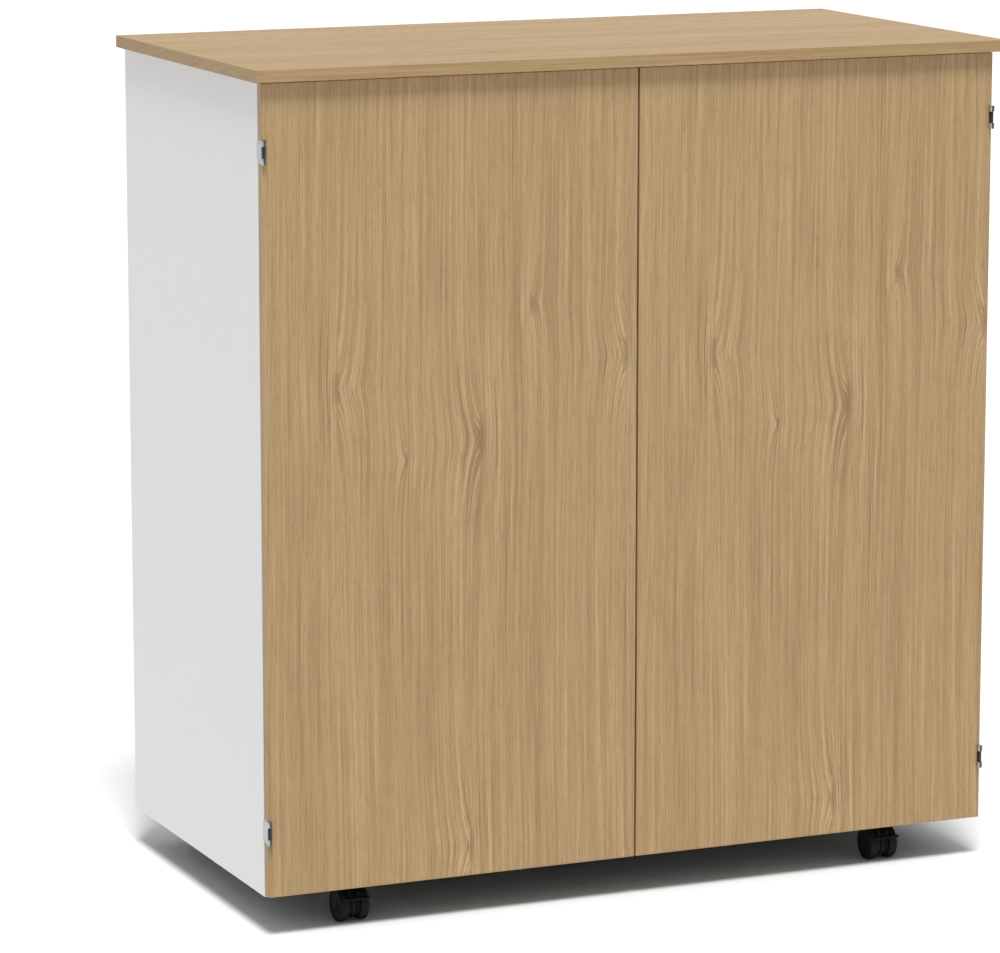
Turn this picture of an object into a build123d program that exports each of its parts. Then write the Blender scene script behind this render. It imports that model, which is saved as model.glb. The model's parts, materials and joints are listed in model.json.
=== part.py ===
"""Two-door housekeeping cupboard on castors.

Millimetres. +X is the cupboard's right, +Y its back and +Z up. The origin lies on the floor,
under the middle of the top board. Every board, hinge, latch and castor piece is a node of its own.
"""

import os
from math import sqrt

from build123d import *

# ---------------------------------------------------------------- driving dimensions
# Carcass
top_length = 1200.0
top_depth = 600.0
top_thickness = 18.0
top_edge_radius = 1.0
side_overhang = 14.0  # top board beyond each side panel
front_overhang = 14.0  # top board beyond the doors
carcass_height = 1187.0  # side panels
panel_thickness = 18.0
panel_edge_radius = 0.5
back_thickness = 8.0
back_rebate = 8.0  # how far the back panel enters each side panel
rebate_clearance = 0.5

# Doors
door_thickness = 16.0
door_edge_radius = 0.8
door_back_gap = 1.5  # between a door and the carcass behind it
door_top_gap = 2.0
door_bottom_lift = 2.5
door_centre_gap = 3.0

# Shelves and their pins
shelf_thickness = 18.0
shelf_side_clearance = 1.0
shelf_front_setback = 20.0
shelf_back_clearance = 2.0
pin_radius = 2.5
pin_hole_depth = 9.0
pin_hole_clearance = 0.05
pin_hole_pitch = 32.0
pin_holes_each_way = 2  # spare holes above and below each shelf pin
pin_row_inset = 37.0
pin_pad_length = 10.0
pin_pad_width = 8.0
pin_pad_rise = 3.0  # top of the pad above the pin's axis

# Dowels, cam bolts and cam discs
fitting_inset = 60.0  # cam bolts, from the front and the back of the carcass
dowel_step = 32.0  # dowels, from the cam bolt beside them
dowel_radius = 4.0
dowel_in_face = 10.0
dowel_in_end = 20.0
dowel_clearance = 0.05
dowel_end_play = 0.5
bolt_thread_radius = 2.9
bolt_thread_length = 10.0
bolt_shank_radius = 2.3
bolt_neck_radius = 1.6
bolt_neck_start = 24.0
bolt_head_start = 28.0
bolt_head_end = 31.0
bolt_head_radius = 3.3
bolt_clearance = 0.3
cam_radius = 7.5
cam_height = 12.5
cam_setback = 34.0  # centre of the cam disc from the joint
cam_clearance = 0.05

# Countersunk wood screws
screw_radius = 1.75
screw_head_radius = 3.4
screw_length = 12.0
back_screw_length = 20.0
plate_screw_length = 14.0
screw_clearance = 0.1
side_screw_shares = (0.06, 0.35, 0.65, 0.94)  # back panel's screws, up the side panels
partition_screw_shares = (0.2, 0.5, 0.8)  # down the centre partition
floor_screw_shares = (-0.8, -0.4, 0.4, 0.8)  # along each half of the bottom panel

# Wrap-round hinges
hinge_end_distance = 97.0  # centre of a hinge from the end of its door
hinge_height = 34.5
hinge_eye_height = 8.5
hinge_eye_radius = 4.0
hinge_eye_clearance = 0.4  # round the eyes, in the door's edge
hinge_axis_forward = 3.6  # in front of the door's face
hinge_axis_inset = 1.5  # in from the door's edge
hinge_pin_radius = 1.25
hinge_pin_clearance = 0.04
hinge_barrel_radius = 2.4
hinge_barrel_end_play = 0.3
spine_bulge = 1.1  # how far the spine stands out of the door's edge at its middle
spine_inner = 1.4  # inner face of the spine, in from the door's edge
spine_barrel_gap = 0.7
door_edge_recess = 2.2
door_cut_clearance = 0.3
wing_web_gap = 0.5  # between the wing's web and the back of the door
wing_thickness = 2.0
wing_flange_length = 46.0
wing_screw_first = 21.0  # screws of the wing, from the front of the side panel
wing_screw_second = 37.0
leaf_thickness = 1.8
leaf_arm_start = 1.9
leaf_arm_thickness = 2.0
leaf_flange_length = 40.0
leaf_screw_first = 14.0  # screws of the leaf, in from the door's edge
leaf_screw_second = 32.0
hinge_screw_spread = 9.0

# Push-to-open latches
latch_plate_thickness = 4.0
latch_plate_half_height = 15.0
latch_plate_length = 82.0
latch_body_thickness = 14.0
latch_body_half_height = 7.0
latch_body_length = 70.0
latch_setback = 6.5  # front of the latch behind the front of the carcass
latch_screw_front = 13.0
latch_screw_rear = 76.0
latch_screw_spread = 11.0
plunger_radius = 4.0
plunger_clearance = 0.06
plunger_length = 55.0
plunger_bore_depth = 60.0
plunger_tip_gap = 0.2
plunger_tip_chamfer = 0.8
strike_thickness = 2.0
strike_proud = 0.8
strike_width = 12.0
strike_above = 7.0
strike_below = 15.0
strike_screw_drop = 9.0

# Castors
castor_side_inset = 147.0  # swivel axis, in from the side of the carcass
castor_end_inset = 55.0  # swivel axis, from the front or the back of the carcass
castor_trail = 18.0
wheel_radius = 25.0
castor_headroom = 10.0  # from the top of the wheels to the carcass
wheel_width = 13.5
wheel_edge_radius = 2.5
wheel_hub_radius = 8.0
wheel_rim_depth = 4.5
wheel_dish = 3.0
wheel_cap_step = 1.0
wheel_cap_thickness = 1.5
hood_half_width = 8.5
hood_tread_step = 4.5  # the hood's web inside the tread of the wheels
hood_wheel_gap = 1.0
hood_top_drop = 4.0  # below the carcass
hood_nose_setback = 1.5  # nose of the hood behind the front of its web
hood_nose_below = 6.0  # nose of the hood, from the pedal's pivot
hood_nose_above = 3.0
hood_heel_wall = 5.0  # behind the king pin's bore
hood_cap_thickness = 3.0
hood_cap_radius = 17.0
hood_groove_width = 2.0
hood_groove_depth = 3.0
hood_groove_offset = 4.2
axle_radius = 3.0
axle_fit = 0.02
axle_running_clearance = 0.05
axle_end_gap = 0.5
plate_side = 42.0
plate_thickness = 2.0
plate_corner_radius = 3.0
plate_screw_offset = 15.5
plate_boss_radius = 8.0
plate_boss_gap = 0.3
king_pin_radius = 4.0
king_pin_length = 23.0
king_pin_clearance = 0.06
pedal_pivot_forward = 12.0
pedal_pivot_drop = 12.0  # below the top of the hood
pedal_trunnion_radius = 2.0
pedal_trunnion_clearance = 0.05
pedal_hub_radius = 3.6
pedal_arm_half_width = 4.5
pedal_slot_half_width = 4.9
pedal_slot_margin = 1.0  # slot in the hood, below its nose
pedal_half_width = 20.0
pedal_tread_gap = 2.0  # foot plate in front of the wheels' tread
pedal_plate_length = 8.0
pedal_plate_drop = 5.5  # underside of the foot plate, below the pivot
pedal_plate_thickness = 3.0
pedal_plate_taper = 1.0

# ---------------------------------------------------------------- derived places
LEFT, RIGHT = -1, 1
FRONT, REAR = -1, 1
SIDE_NAMES = {LEFT: "left", RIGHT: "right"}

half_body = top_length / 2 - side_overhang
half_inner = half_body - panel_thickness
door_front = -top_depth / 2 + front_overhang
door_back = door_front + door_thickness
carcass_front = door_back + door_back_gap
carcass_back = top_depth / 2
inner_back = carcass_back - back_thickness
base_z = 2 * wheel_radius + castor_headroom
floor_z = base_z + panel_thickness
roof_z = base_z + carcass_height
total_height = roof_z + top_thickness
door_bottom = base_z + door_bottom_lift
door_top = roof_z - door_top_gap
half_partition = panel_thickness / 2

compartment = (roof_z - floor_z - 2 * shelf_thickness) / 3
shelf_undersides = {
    "lower": floor_z + compartment,
    "upper": floor_z + 2 * compartment + shelf_thickness,
}
pin_rows = (carcass_front + pin_row_inset, inner_back - pin_row_inset)

hinge_levels = {
    "lower": door_bottom + hinge_end_distance,
    "upper": door_top - hinge_end_distance,
}
hinge_axis_y = door_front - hinge_axis_forward
latch_z = (door_bottom + door_top) / 2
latch_front = carcass_front + latch_setback
strike_back = door_back + strike_proud
plunger_tip = strike_back + plunger_tip_gap
strike_x = half_partition + latch_body_thickness / 2

castor_x = half_body - castor_side_inset
plate_z = base_z - plate_thickness
wheel_inner = hood_half_width + hood_wheel_gap
hood_radius = wheel_radius - hood_tread_step
hood_top = base_z - hood_top_drop
pedal_pivot_height = hood_top - pedal_pivot_drop
pedal_plate_height = pedal_pivot_height - pedal_plate_drop
pedal_reach_inner = wheel_radius + pedal_tread_gap
pedal_reach_outer = pedal_reach_inner + pedal_plate_length

os.makedirs("parts", exist_ok=True)


# ---------------------------------------------------------------- helpers
def save(part, name):
    """Label a finished piece and write it as one STEP file."""
    part.label = name
    export_step(part, f"parts/{name}.step")


def block(x_span, y_span, z_span, mode=Mode.ADD):
    """A box between two corners, given as spans in any order, in the open BuildPart."""
    spans = (x_span, y_span, z_span)
    centre = tuple(sum(span) / 2 for span in spans)
    lengths = [abs(span[1] - span[0]) for span in spans]
    with Locations(centre):
        Box(*lengths, mode=mode)


def seat(x, y, z, out, along=None):
    """A place on a surface: out is the way a fastener would leave it."""
    return Plane(origin=(x, y, z), x_dir=along, z_dir=out)


def drill(seats, radius, depth):
    """Blind holes at the seats, in the open BuildPart."""
    with Locations(*seats):
        Hole(radius, depth)


def countersink(seats, depth):
    """Countersunk screw holes at the seats, in the open BuildPart."""
    with Locations(*seats):
        CounterSinkHole(
            screw_radius + screw_clearance, screw_head_radius + screw_clearance, depth, 90
        )


def pilot(seats, length):
    """Pilot holes in a board for screws whose heads lie at the seats."""
    drill(seats, screw_radius + screw_clearance, length + screw_clearance)


def inward(side, inset):
    """X of a point that lies inset from a side of the carcass, towards its middle."""
    return side * (half_body - inset)


def save_group(piece, seats, name):
    """Copies of one piece at all the seats, as separate solids in one node."""
    with BuildPart() as group:
        with Locations(*seats):
            add(piece)
    save(group.part, name)


def make_screw(length):
    """A countersunk wood screw, its head at the origin and its point down."""
    head_depth = screw_head_radius - screw_radius
    point_start = length - 2 * screw_radius
    with BuildPart() as screw:
        with BuildSketch(Plane.XZ):
            with BuildLine():
                Polyline(
                    (0, 0),
                    (screw_head_radius, 0),
                    (screw_radius, -head_depth),
                    (screw_radius, -point_start),
                    (0, -length),
                    close=True,
                )
            make_face()
        revolve(axis=Axis.Z)
    return screw.part


# ---------------------------------------------------------------- seats of the fittings
def carcass_joint(x, z, into, cam_out):
    """One butt joint: cam bolts and dowels run from its mid line into the face board.

    into points from the end board into the face board, and cam_out from the middle of the end
    board to the side on which its cam discs are let in.
    """
    bolt_rows = (carcass_front + fitting_inset, inner_back - fitting_inset)
    dowel_rows = (bolt_rows[0] + dowel_step, bolt_rows[1] - dowel_step)
    back_off = Vector(*into) * -1
    bolts = [Vector(x, y, z) for y in bolt_rows]
    dowels = [Vector(x, y, z) for y in dowel_rows]
    cam_shift = back_off * cam_setback + Vector(*cam_out) * (panel_thickness / 2)
    return {
        "bolts_in_face": [seat(*point, back_off) for point in bolts],
        "bolts_in_end": [seat(*point, into) for point in bolts],
        "dowels_in_face": [seat(*point, back_off) for point in dowels],
        "dowels_in_end": [seat(*point, into) for point in dowels],
        "cams": [seat(*(point + cam_shift), cam_out, into) for point in bolts],
    }


floor_joints = {
    side: carcass_joint(side * half_inner, base_z + half_partition, (side, 0, 0), (0, 0, -1))
    for side in (LEFT, RIGHT)
}
roof_joints = {
    side: carcass_joint(side * (half_inner + half_partition), roof_z, (0, 0, 1), (-side, 0, 0))
    for side in (LEFT, RIGHT)
}
partition_roof = carcass_joint(0, roof_z, (0, 0, 1), (1, 0, 0))
partition_floor = carcass_joint(0, floor_z, (0, 0, -1), (1, 0, 0))
all_joints = [*floor_joints.values(), *roof_joints.values(), partition_roof, partition_floor]


def joint_in_face(joint):
    """Holes of a joint in the board whose face it meets."""
    drill(joint["bolts_in_face"], bolt_thread_radius + dowel_clearance, bolt_thread_length)
    drill(
        joint["dowels_in_face"], dowel_radius + dowel_clearance, dowel_in_face + dowel_end_play
    )


def joint_in_end(joint):
    """Holes of a joint in the board whose end it is."""
    drill(joint["bolts_in_end"], bolt_head_radius + bolt_clearance, bolt_head_end)
    drill(joint["dowels_in_end"], dowel_radius + dowel_clearance, dowel_in_end + dowel_end_play)
    drill(joint["cams"], cam_radius + cam_clearance, cam_height + cam_clearance)


shelf_pin_seats = []
for pin_underside in shelf_undersides.values():
    for row in pin_rows:
        pin_z = pin_underside - pin_pad_rise
        for side in (LEFT, RIGHT):
            out = (-side, 0, 0)
            shelf_pin_seats.append(seat(side * half_inner, row, pin_z, out, (0, 1, 0)))
            shelf_pin_seats.append(
                seat(-side * half_partition, row, pin_z, out, (0, 1, 0))
            )


def pin_hole_seats(x, out):
    """Every shelf-pin hole of one board face."""
    steps = range(-pin_holes_each_way, pin_holes_each_way + 1)
    return [
        seat(x, row, underside - pin_pad_rise + step * pin_hole_pitch, out)
        for underside in shelf_undersides.values()
        for row in pin_rows
        for step in steps
    ]


def wing_screw_seats(side, level):
    """Screw heads on the wing's flange, inside the side panel."""
    x = inward(side, panel_thickness + wing_thickness)
    spread = hinge_screw_spread
    return [
        seat(x, carcass_front + wing_screw_first, level + spread, (-side, 0, 0)),
        seat(x, carcass_front + wing_screw_first, level - spread, (-side, 0, 0)),
        seat(x, carcass_front + wing_screw_second, level, (-side, 0, 0)),
    ]


def leaf_screw_seats(side, level):
    """Screw heads on the leaf's flange, on the back of a door."""
    near = inward(side, leaf_screw_first)
    far = inward(side, leaf_screw_second)
    return [
        seat(near, door_back, level + hinge_screw_spread, (0, 1, 0)),
        seat(near, door_back, level - hinge_screw_spread, (0, 1, 0)),
        seat(far, door_back, level, (0, 1, 0)),
    ]


def latch_screw_seats(side):
    """Screw heads on the latch's base plate."""
    x = side * (half_partition + latch_plate_thickness)
    front_row = latch_front + latch_screw_front
    return [
        seat(x, front_row, latch_z + latch_screw_spread, (side, 0, 0)),
        seat(x, front_row, latch_z - latch_screw_spread, (side, 0, 0)),
        seat(x, latch_front + latch_screw_rear, latch_z, (side, 0, 0)),
    ]


def strike_screw_seats(side):
    """The screw head on the strike plate."""
    return [seat(side * strike_x, strike_back, latch_z - strike_screw_drop, (0, 1, 0))]


def castor_centre(side, end):
    """Swivel axis of one castor."""
    end_y = carcass_front if end == FRONT else carcass_back
    return side * castor_x, end_y - end * castor_end_inset


def plate_screw_seats(side, end):
    """Screw heads under one castor plate."""
    x, y = castor_centre(side, end)
    return [
        seat(x + i * plate_screw_offset, y + j * plate_screw_offset, plate_z, (0, 0, -1))
        for i in (-1, 1)
        for j in (-1, 1)
    ]


all_castors = [(side, end) for end in (FRONT, REAR) for side in (LEFT, RIGHT)]
castor_names = {
    (side, end): f"{'front' if end == FRONT else 'rear'}_{SIDE_NAMES[side]}"
    for side, end in all_castors
}
castor_plate_seats = [place for castor in all_castors for place in plate_screw_seats(*castor)]

rebate_line = half_inner + back_rebate / 2
back_screw_levels = [base_z + carcass_height * share for share in side_screw_shares]
partition_screw_levels = [roof_z - (roof_z - floor_z) * share for share in partition_screw_shares]
floor_screw_places = [half_inner * share for share in floor_screw_shares]
back_seats_side = {
    side: [seat(side * rebate_line, carcass_back, z, (0, 1, 0)) for z in back_screw_levels]
    for side in (LEFT, RIGHT)
}
back_seats_partition = [seat(0, carcass_back, z, (0, 1, 0)) for z in partition_screw_levels]
back_seats_floor = [
    seat(x, carcass_back, base_z + half_partition, (0, 1, 0)) for x in floor_screw_places
]
back_seats = [
    *back_seats_side[LEFT], *back_seats_side[RIGHT], *back_seats_partition, *back_seats_floor
]


# ---------------------------------------------------------------- carcass
def make_top_board():
    with BuildPart() as top_board:
        half_length, half_depth = top_length / 2, top_depth / 2
        block((-half_length, half_length), (-half_depth, half_depth), (roof_z, total_height))
        fillet(top_board.edges(), top_edge_radius)
        for joint in (*roof_joints.values(), partition_roof):
            joint_in_face(joint)
    save(top_board.part, "top_board")


def make_side_panel(side):
    with BuildPart() as panel:
        block(
            (side * half_inner, side * half_body), (carcass_front, carcass_back), (base_z, roof_z)
        )
        fillet(panel.edges(), panel_edge_radius)
        # Rebate for the back panel
        block(
            (side * half_inner, side * (half_inner + back_rebate + rebate_clearance)),
            (inner_back, carcass_back),
            (base_z, roof_z),
            mode=Mode.SUBTRACT,
        )
        # Front edge let in for the webs of the hinge wings
        web_back = door_back + wing_web_gap + wing_thickness
        half_cut = hinge_height / 2 + door_cut_clearance
        for level in hinge_levels.values():
            block(
                (inward(side, 0), inward(side, panel_thickness)),
                (carcass_front, web_back),
                (level - half_cut, level + half_cut),
                mode=Mode.SUBTRACT,
            )
            pilot(wing_screw_seats(side, level), screw_length)
        drill(
            pin_hole_seats(side * half_inner, (-side, 0, 0)),
            pin_radius + pin_hole_clearance,
            pin_hole_depth + pin_hole_clearance,
        )
        joint_in_face(floor_joints[side])
        joint_in_end(roof_joints[side])
        pilot(back_seats_side[side], back_screw_length)
    save(panel.part, f"{SIDE_NAMES[side]}_side_panel")


def make_bottom_panel():
    with BuildPart() as bottom_panel:
        block((-half_inner, half_inner), (carcass_front, inner_back), (base_z, floor_z))
        for side in (LEFT, RIGHT):
            joint_in_end(floor_joints[side])
        joint_in_face(partition_floor)
        pilot(castor_plate_seats, plate_screw_length)
        pilot(back_seats_floor, back_screw_length)
    save(bottom_panel.part, "bottom_panel")


def make_centre_partition():
    with BuildPart() as partition:
        block((-half_partition, half_partition), (carcass_front, inner_back), (floor_z, roof_z))
        drill(
            pin_hole_seats(half_partition, (1, 0, 0)),
            pin_radius + pin_hole_clearance,
            panel_thickness,
        )
        joint_in_end(partition_roof)
        joint_in_end(partition_floor)
        for side in (LEFT, RIGHT):
            pilot(latch_screw_seats(side), screw_length)
        pilot(back_seats_partition, back_screw_length)
    save(partition.part, "centre_partition")


def make_back_panel():
    with BuildPart() as back_panel:
        half_width = half_inner + back_rebate
        block((-half_width, half_width), (inner_back, carcass_back), (base_z, roof_z))
        countersink(back_seats, back_thickness)
    save(back_panel.part, "back_panel")


def make_shelf(side, level, underside):
    with BuildPart() as shelf:
        block(
            (
                side * (half_partition + shelf_side_clearance),
                side * (half_inner - shelf_side_clearance),
            ),
            (carcass_front + shelf_front_setback, inner_back - shelf_back_clearance),
            (underside, underside + shelf_thickness),
        )
        fillet(shelf.edges().filter_by(Axis.X).group_by(Axis.Y)[0], panel_edge_radius)
    save(shelf.part, f"{SIDE_NAMES[side]}_{level}_shelf")


# ---------------------------------------------------------------- small fittings
def make_shelf_pins():
    """A round peg with a flat pad; the pad's top carries the shelf."""
    with BuildPart() as pin:
        with Locations((0, 0, -pin_hole_depth)):
            Cylinder(pin_radius, pin_hole_depth, align=(Align.CENTER, Align.CENTER, Align.MIN))
        # The seats have +Z out of the board and +X along the cupboard's depth
        block(
            (-pin_pad_width / 2, pin_pad_width / 2),
            (-pin_pad_rise, pin_pad_rise),
            (0, pin_pad_length),
        )
    save_group(pin.part, shelf_pin_seats, "shelf_pins")


def make_dowels():
    with BuildPart() as dowel:
        with Locations((0, 0, (dowel_in_end - dowel_in_face) / 2)):
            Cylinder(dowel_radius, dowel_in_face + dowel_in_end)
        chamfer(dowel.edges(), dowel_radius / 4)
    seats = [place for joint in all_joints for place in joint["dowels_in_face"]]
    save_group(dowel.part, seats, "carcass_dowels")


def make_cam_bolts():
    with BuildPart() as bolt:
        with BuildSketch(Plane.XZ):
            with BuildLine():
                Polyline(
                    (0, -bolt_thread_length),
                    (bolt_thread_radius, -bolt_thread_length),
                    (bolt_thread_radius, 0),
                    (bolt_shank_radius, 0),
                    (bolt_shank_radius, bolt_neck_start),
                    (bolt_neck_radius, bolt_neck_start),
                    (bolt_neck_radius, bolt_head_start),
                    (bolt_head_radius, bolt_head_start),
                    (bolt_head_radius, bolt_head_end),
                    (0, bolt_head_end),
                    close=True,
                )
            make_face()
        revolve(axis=Axis.Z)
    seats = [place for joint in all_joints for place in joint["bolts_in_face"]]
    save_group(bolt.part, seats, "cam_bolts")


def make_cam_discs():
    """A disc with a pocket for the bolt's head and a cross for the screwdriver."""
    cross_length, cross_width, cross_depth = 8.0, 1.2, 2.0
    with BuildPart() as cam:
        Cylinder(cam_radius, cam_height, align=(Align.CENTER, Align.CENTER, Align.MAX))
        pocket = Plane(origin=(cam_radius, 0, -panel_thickness / 2), z_dir=(1, 0, 0))
        drill([pocket], bolt_head_radius + bolt_clearance, cam_radius)
        for lengths in ((cross_length, cross_width), (cross_width, cross_length)):
            Box(*lengths, 2 * cross_depth, mode=Mode.SUBTRACT)
    seats = [place for joint in all_joints for place in joint["cams"]]
    save_group(cam.part, seats, "cam_discs")


# ---------------------------------------------------------------- doors
def make_door(side):
    with BuildPart() as door:
        block(
            (side * door_centre_gap / 2, inward(side, 0)),
            (door_front, door_back),
            (door_bottom, door_top),
        )
        fillet(door.edges(), door_edge_radius)
        half_cut = hinge_height / 2 + door_cut_clearance
        half_arm = hinge_height / 2 - hinge_eye_height
        flange_end = leaf_flange_length + door_cut_clearance
        arm_end = leaf_arm_start + leaf_arm_thickness + door_cut_clearance
        for level in hinge_levels.values():
            whole = (level - half_cut, level + half_cut)
            through = (door_front, door_back)
            # Recess in the door's edge for the wing's spine
            block((inward(side, 0), inward(side, door_edge_recess)), through, whole, Mode.SUBTRACT)
            # Scallops round the eyes
            for end in (-1, 1):
                eye_z = level + end * (hinge_height - hinge_eye_height) / 2
                with Locations((inward(side, hinge_axis_inset), hinge_axis_y, eye_z)):
                    Cylinder(
                        hinge_eye_radius + hinge_eye_clearance,
                        hinge_eye_height + 2 * door_cut_clearance,
                        mode=Mode.SUBTRACT,
                    )
            # Slot for the leaf's arm and pocket for its flange
            slot = (level - half_arm, level + half_arm)
            block((inward(side, 0), inward(side, arm_end)), through, slot, Mode.SUBTRACT)
            pocket = (door_back - leaf_thickness, door_back)
            block((inward(side, 0), inward(side, flange_end)), pocket, whole, Mode.SUBTRACT)
            pilot(leaf_screw_seats(side, level), screw_length)
        # Pocket for the strike plate
        half_strike = strike_width / 2
        block(
            (side * strike_x - half_strike, side * strike_x + half_strike),
            (strike_back - strike_thickness, door_back),
            (latch_z - strike_below, latch_z + strike_above),
            Mode.SUBTRACT,
        )
        pilot(strike_screw_seats(side), screw_length)
    save(door.part, f"{SIDE_NAMES[side]}_door")


def make_hinge_wing(side, level_name):
    """The fixed half: spine round the door's edge, two eyes, web and screwed flange."""
    level = hinge_levels[level_name]
    half = hinge_height / 2
    half_gap = half - hinge_eye_height
    web_front = door_back + wing_web_gap
    web_back = web_front + wing_thickness
    flange_inner = panel_thickness + wing_thickness
    axis_x = inward(side, hinge_axis_inset)
    with BuildPart() as wing:
        # Spine, bowed outwards, from the hinge's axis back to the web
        with BuildSketch(Plane.XZ.offset(-web_back)):
            with BuildLine():
                ThreePointArc(
                    (inward(side, 0), level - half),
                    (inward(side, -spine_bulge), level),
                    (inward(side, 0), level + half),
                )
                Polyline(
                    (inward(side, 0), level + half),
                    (inward(side, spine_inner), level + half),
                    (inward(side, spine_inner), level - half),
                    (inward(side, 0), level - half),
                )
            make_face()
        extrude(amount=web_back - hinge_axis_y)
        # Web across the front edge of the side panel, and the flange inside it
        height = (level - half, level + half)
        block((inward(side, 0), inward(side, flange_inner)), (web_front, web_back), height)
        block(
            (inward(side, panel_thickness), inward(side, flange_inner)),
            (web_front, web_front + wing_flange_length),
            height,
        )
        # Notch in the spine for the knuckle of the door's leaf, and an eye at each end of it
        gap_back = hinge_axis_y + hinge_barrel_radius + spine_barrel_gap
        block(
            (axis_x - 2 * hinge_eye_radius, axis_x + 2 * hinge_eye_radius),
            (hinge_axis_y - 2 * hinge_eye_radius, gap_back),
            (level - half_gap, level + half_gap),
            Mode.SUBTRACT,
        )
        eye_rise = (hinge_height - hinge_eye_height) / 2
        with Locations(
            (axis_x, hinge_axis_y, level - eye_rise), (axis_x, hinge_axis_y, level + eye_rise)
        ):
            Cylinder(hinge_eye_radius, hinge_eye_height)
        top_of_eye = seat(axis_x, hinge_axis_y, level + half, (0, 0, 1))
        drill([top_of_eye], hinge_pin_radius + axle_fit, hinge_height)
        countersink(wing_screw_seats(side, level), wing_thickness)
    save(wing.part, f"{SIDE_NAMES[side]}_{level_name}_hinge_wing")


def make_hinge_leaf(side, level_name):
    """The door's half: barrel between the eyes, arm through the slot, screwed flange."""
    level = hinge_levels[level_name]
    half_barrel = hinge_height / 2 - hinge_eye_height - hinge_barrel_end_play
    half_flange = hinge_height / 2
    flange_front = door_back - leaf_thickness
    height = (level - half_barrel, level + half_barrel)
    arm_inner = leaf_arm_start + leaf_arm_thickness
    with BuildPart() as leaf:
        with Locations((inward(side, hinge_axis_inset), hinge_axis_y, level)):
            Cylinder(hinge_barrel_radius, 2 * half_barrel)
        arm_span = (inward(side, leaf_arm_start), inward(side, arm_inner))
        block(arm_span, (hinge_axis_y, door_back), height)
        block(
            (inward(side, door_edge_recess), inward(side, leaf_flange_length)),
            (flange_front, door_back),
            (level - half_flange, level + half_flange),
        )
        barrel_top = seat(
            inward(side, hinge_axis_inset), hinge_axis_y, level + half_barrel, (0, 0, 1)
        )
        drill([barrel_top], hinge_pin_radius + hinge_pin_clearance, 2 * half_barrel)
        countersink(leaf_screw_seats(side, level), leaf_thickness)
    save(leaf.part, f"{SIDE_NAMES[side]}_{level_name}_hinge_leaf")


def make_hinge_pins():
    with BuildPart() as pin:
        Cylinder(hinge_pin_radius, hinge_height)
    seats = [
        seat(inward(side, hinge_axis_inset), hinge_axis_y, level, (0, 0, 1))
        for side in (LEFT, RIGHT)
        for level in hinge_levels.values()
    ]
    save_group(pin.part, seats, "hinge_pins")


# ---------------------------------------------------------------- latches
def make_latch(side):
    name = SIDE_NAMES[side]
    face = side * half_partition
    centre_x = side * strike_x
    bore_seat = seat(centre_x, latch_front, latch_z, (0, -1, 0))
    with BuildPart() as housing:
        block(
            (face, face + side * latch_plate_thickness),
            (latch_front, latch_front + latch_plate_length),
            (latch_z - latch_plate_half_height, latch_z + latch_plate_half_height),
        )
        block(
            (face, face + side * latch_body_thickness),
            (latch_front, latch_front + latch_body_length),
            (latch_z - latch_body_half_height, latch_z + latch_body_half_height),
        )
        drill([bore_seat], plunger_radius + plunger_clearance, plunger_bore_depth)
        countersink(latch_screw_seats(side), latch_plate_thickness)
    save(housing.part, f"{name}_latch_housing")

    with BuildPart() as plunger:
        with BuildSketch(Plane.XZ.offset(-plunger_tip)):
            with Locations((centre_x, latch_z)):
                Circle(plunger_radius)
        extrude(amount=-plunger_length)
        chamfer(plunger.faces().sort_by(Axis.Y)[0].edges(), plunger_tip_chamfer)
    save(plunger.part, f"{name}_latch_plunger")

    half_width = strike_width / 2 - door_cut_clearance
    with BuildPart() as strike:
        block(
            (centre_x - half_width, centre_x + half_width),
            (strike_back - strike_thickness, strike_back),
            (
                latch_z - strike_below + door_cut_clearance,
                latch_z + strike_above - door_cut_clearance,
            ),
        )
        countersink(strike_screw_seats(side), strike_thickness)
    save(strike.part, f"{name}_strike_plate")


# ---------------------------------------------------------------- castors
def make_castor_plate(side, end):
    """Mounting plate with a boss and the king pin on which the hood swivels."""
    x, y = castor_centre(side, end)
    boss_bottom = hood_top + plate_boss_gap
    with BuildPart() as plate:
        with BuildSketch(Plane.XY.offset(plate_z)):
            with Locations((x, y)):
                RectangleRounded(plate_side, plate_side, plate_corner_radius)
        extrude(amount=plate_thickness)
        with BuildSketch(Plane.XY.offset(boss_bottom)):
            with Locations((x, y)):
                Circle(plate_boss_radius)
        extrude(amount=plate_z - boss_bottom)
        with BuildSketch(Plane.XY.offset(plate_z - king_pin_length)):
            with Locations((x, y)):
                Circle(king_pin_radius)
        extrude(amount=king_pin_length)
        countersink(plate_screw_seats(side, end), plate_thickness)
    save(plate.part, f"{castor_names[side, end]}_castor_plate")


def castor_plane(side, end):
    """Upright plane through the middle of a castor: local x leads from swivel to axle, y is up."""
    x, y = castor_centre(side, end)
    return Plane(origin=(x, y + end * castor_trail, 0), x_dir=(0, end, 0), z_dir=(end, 0, 0))


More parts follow.
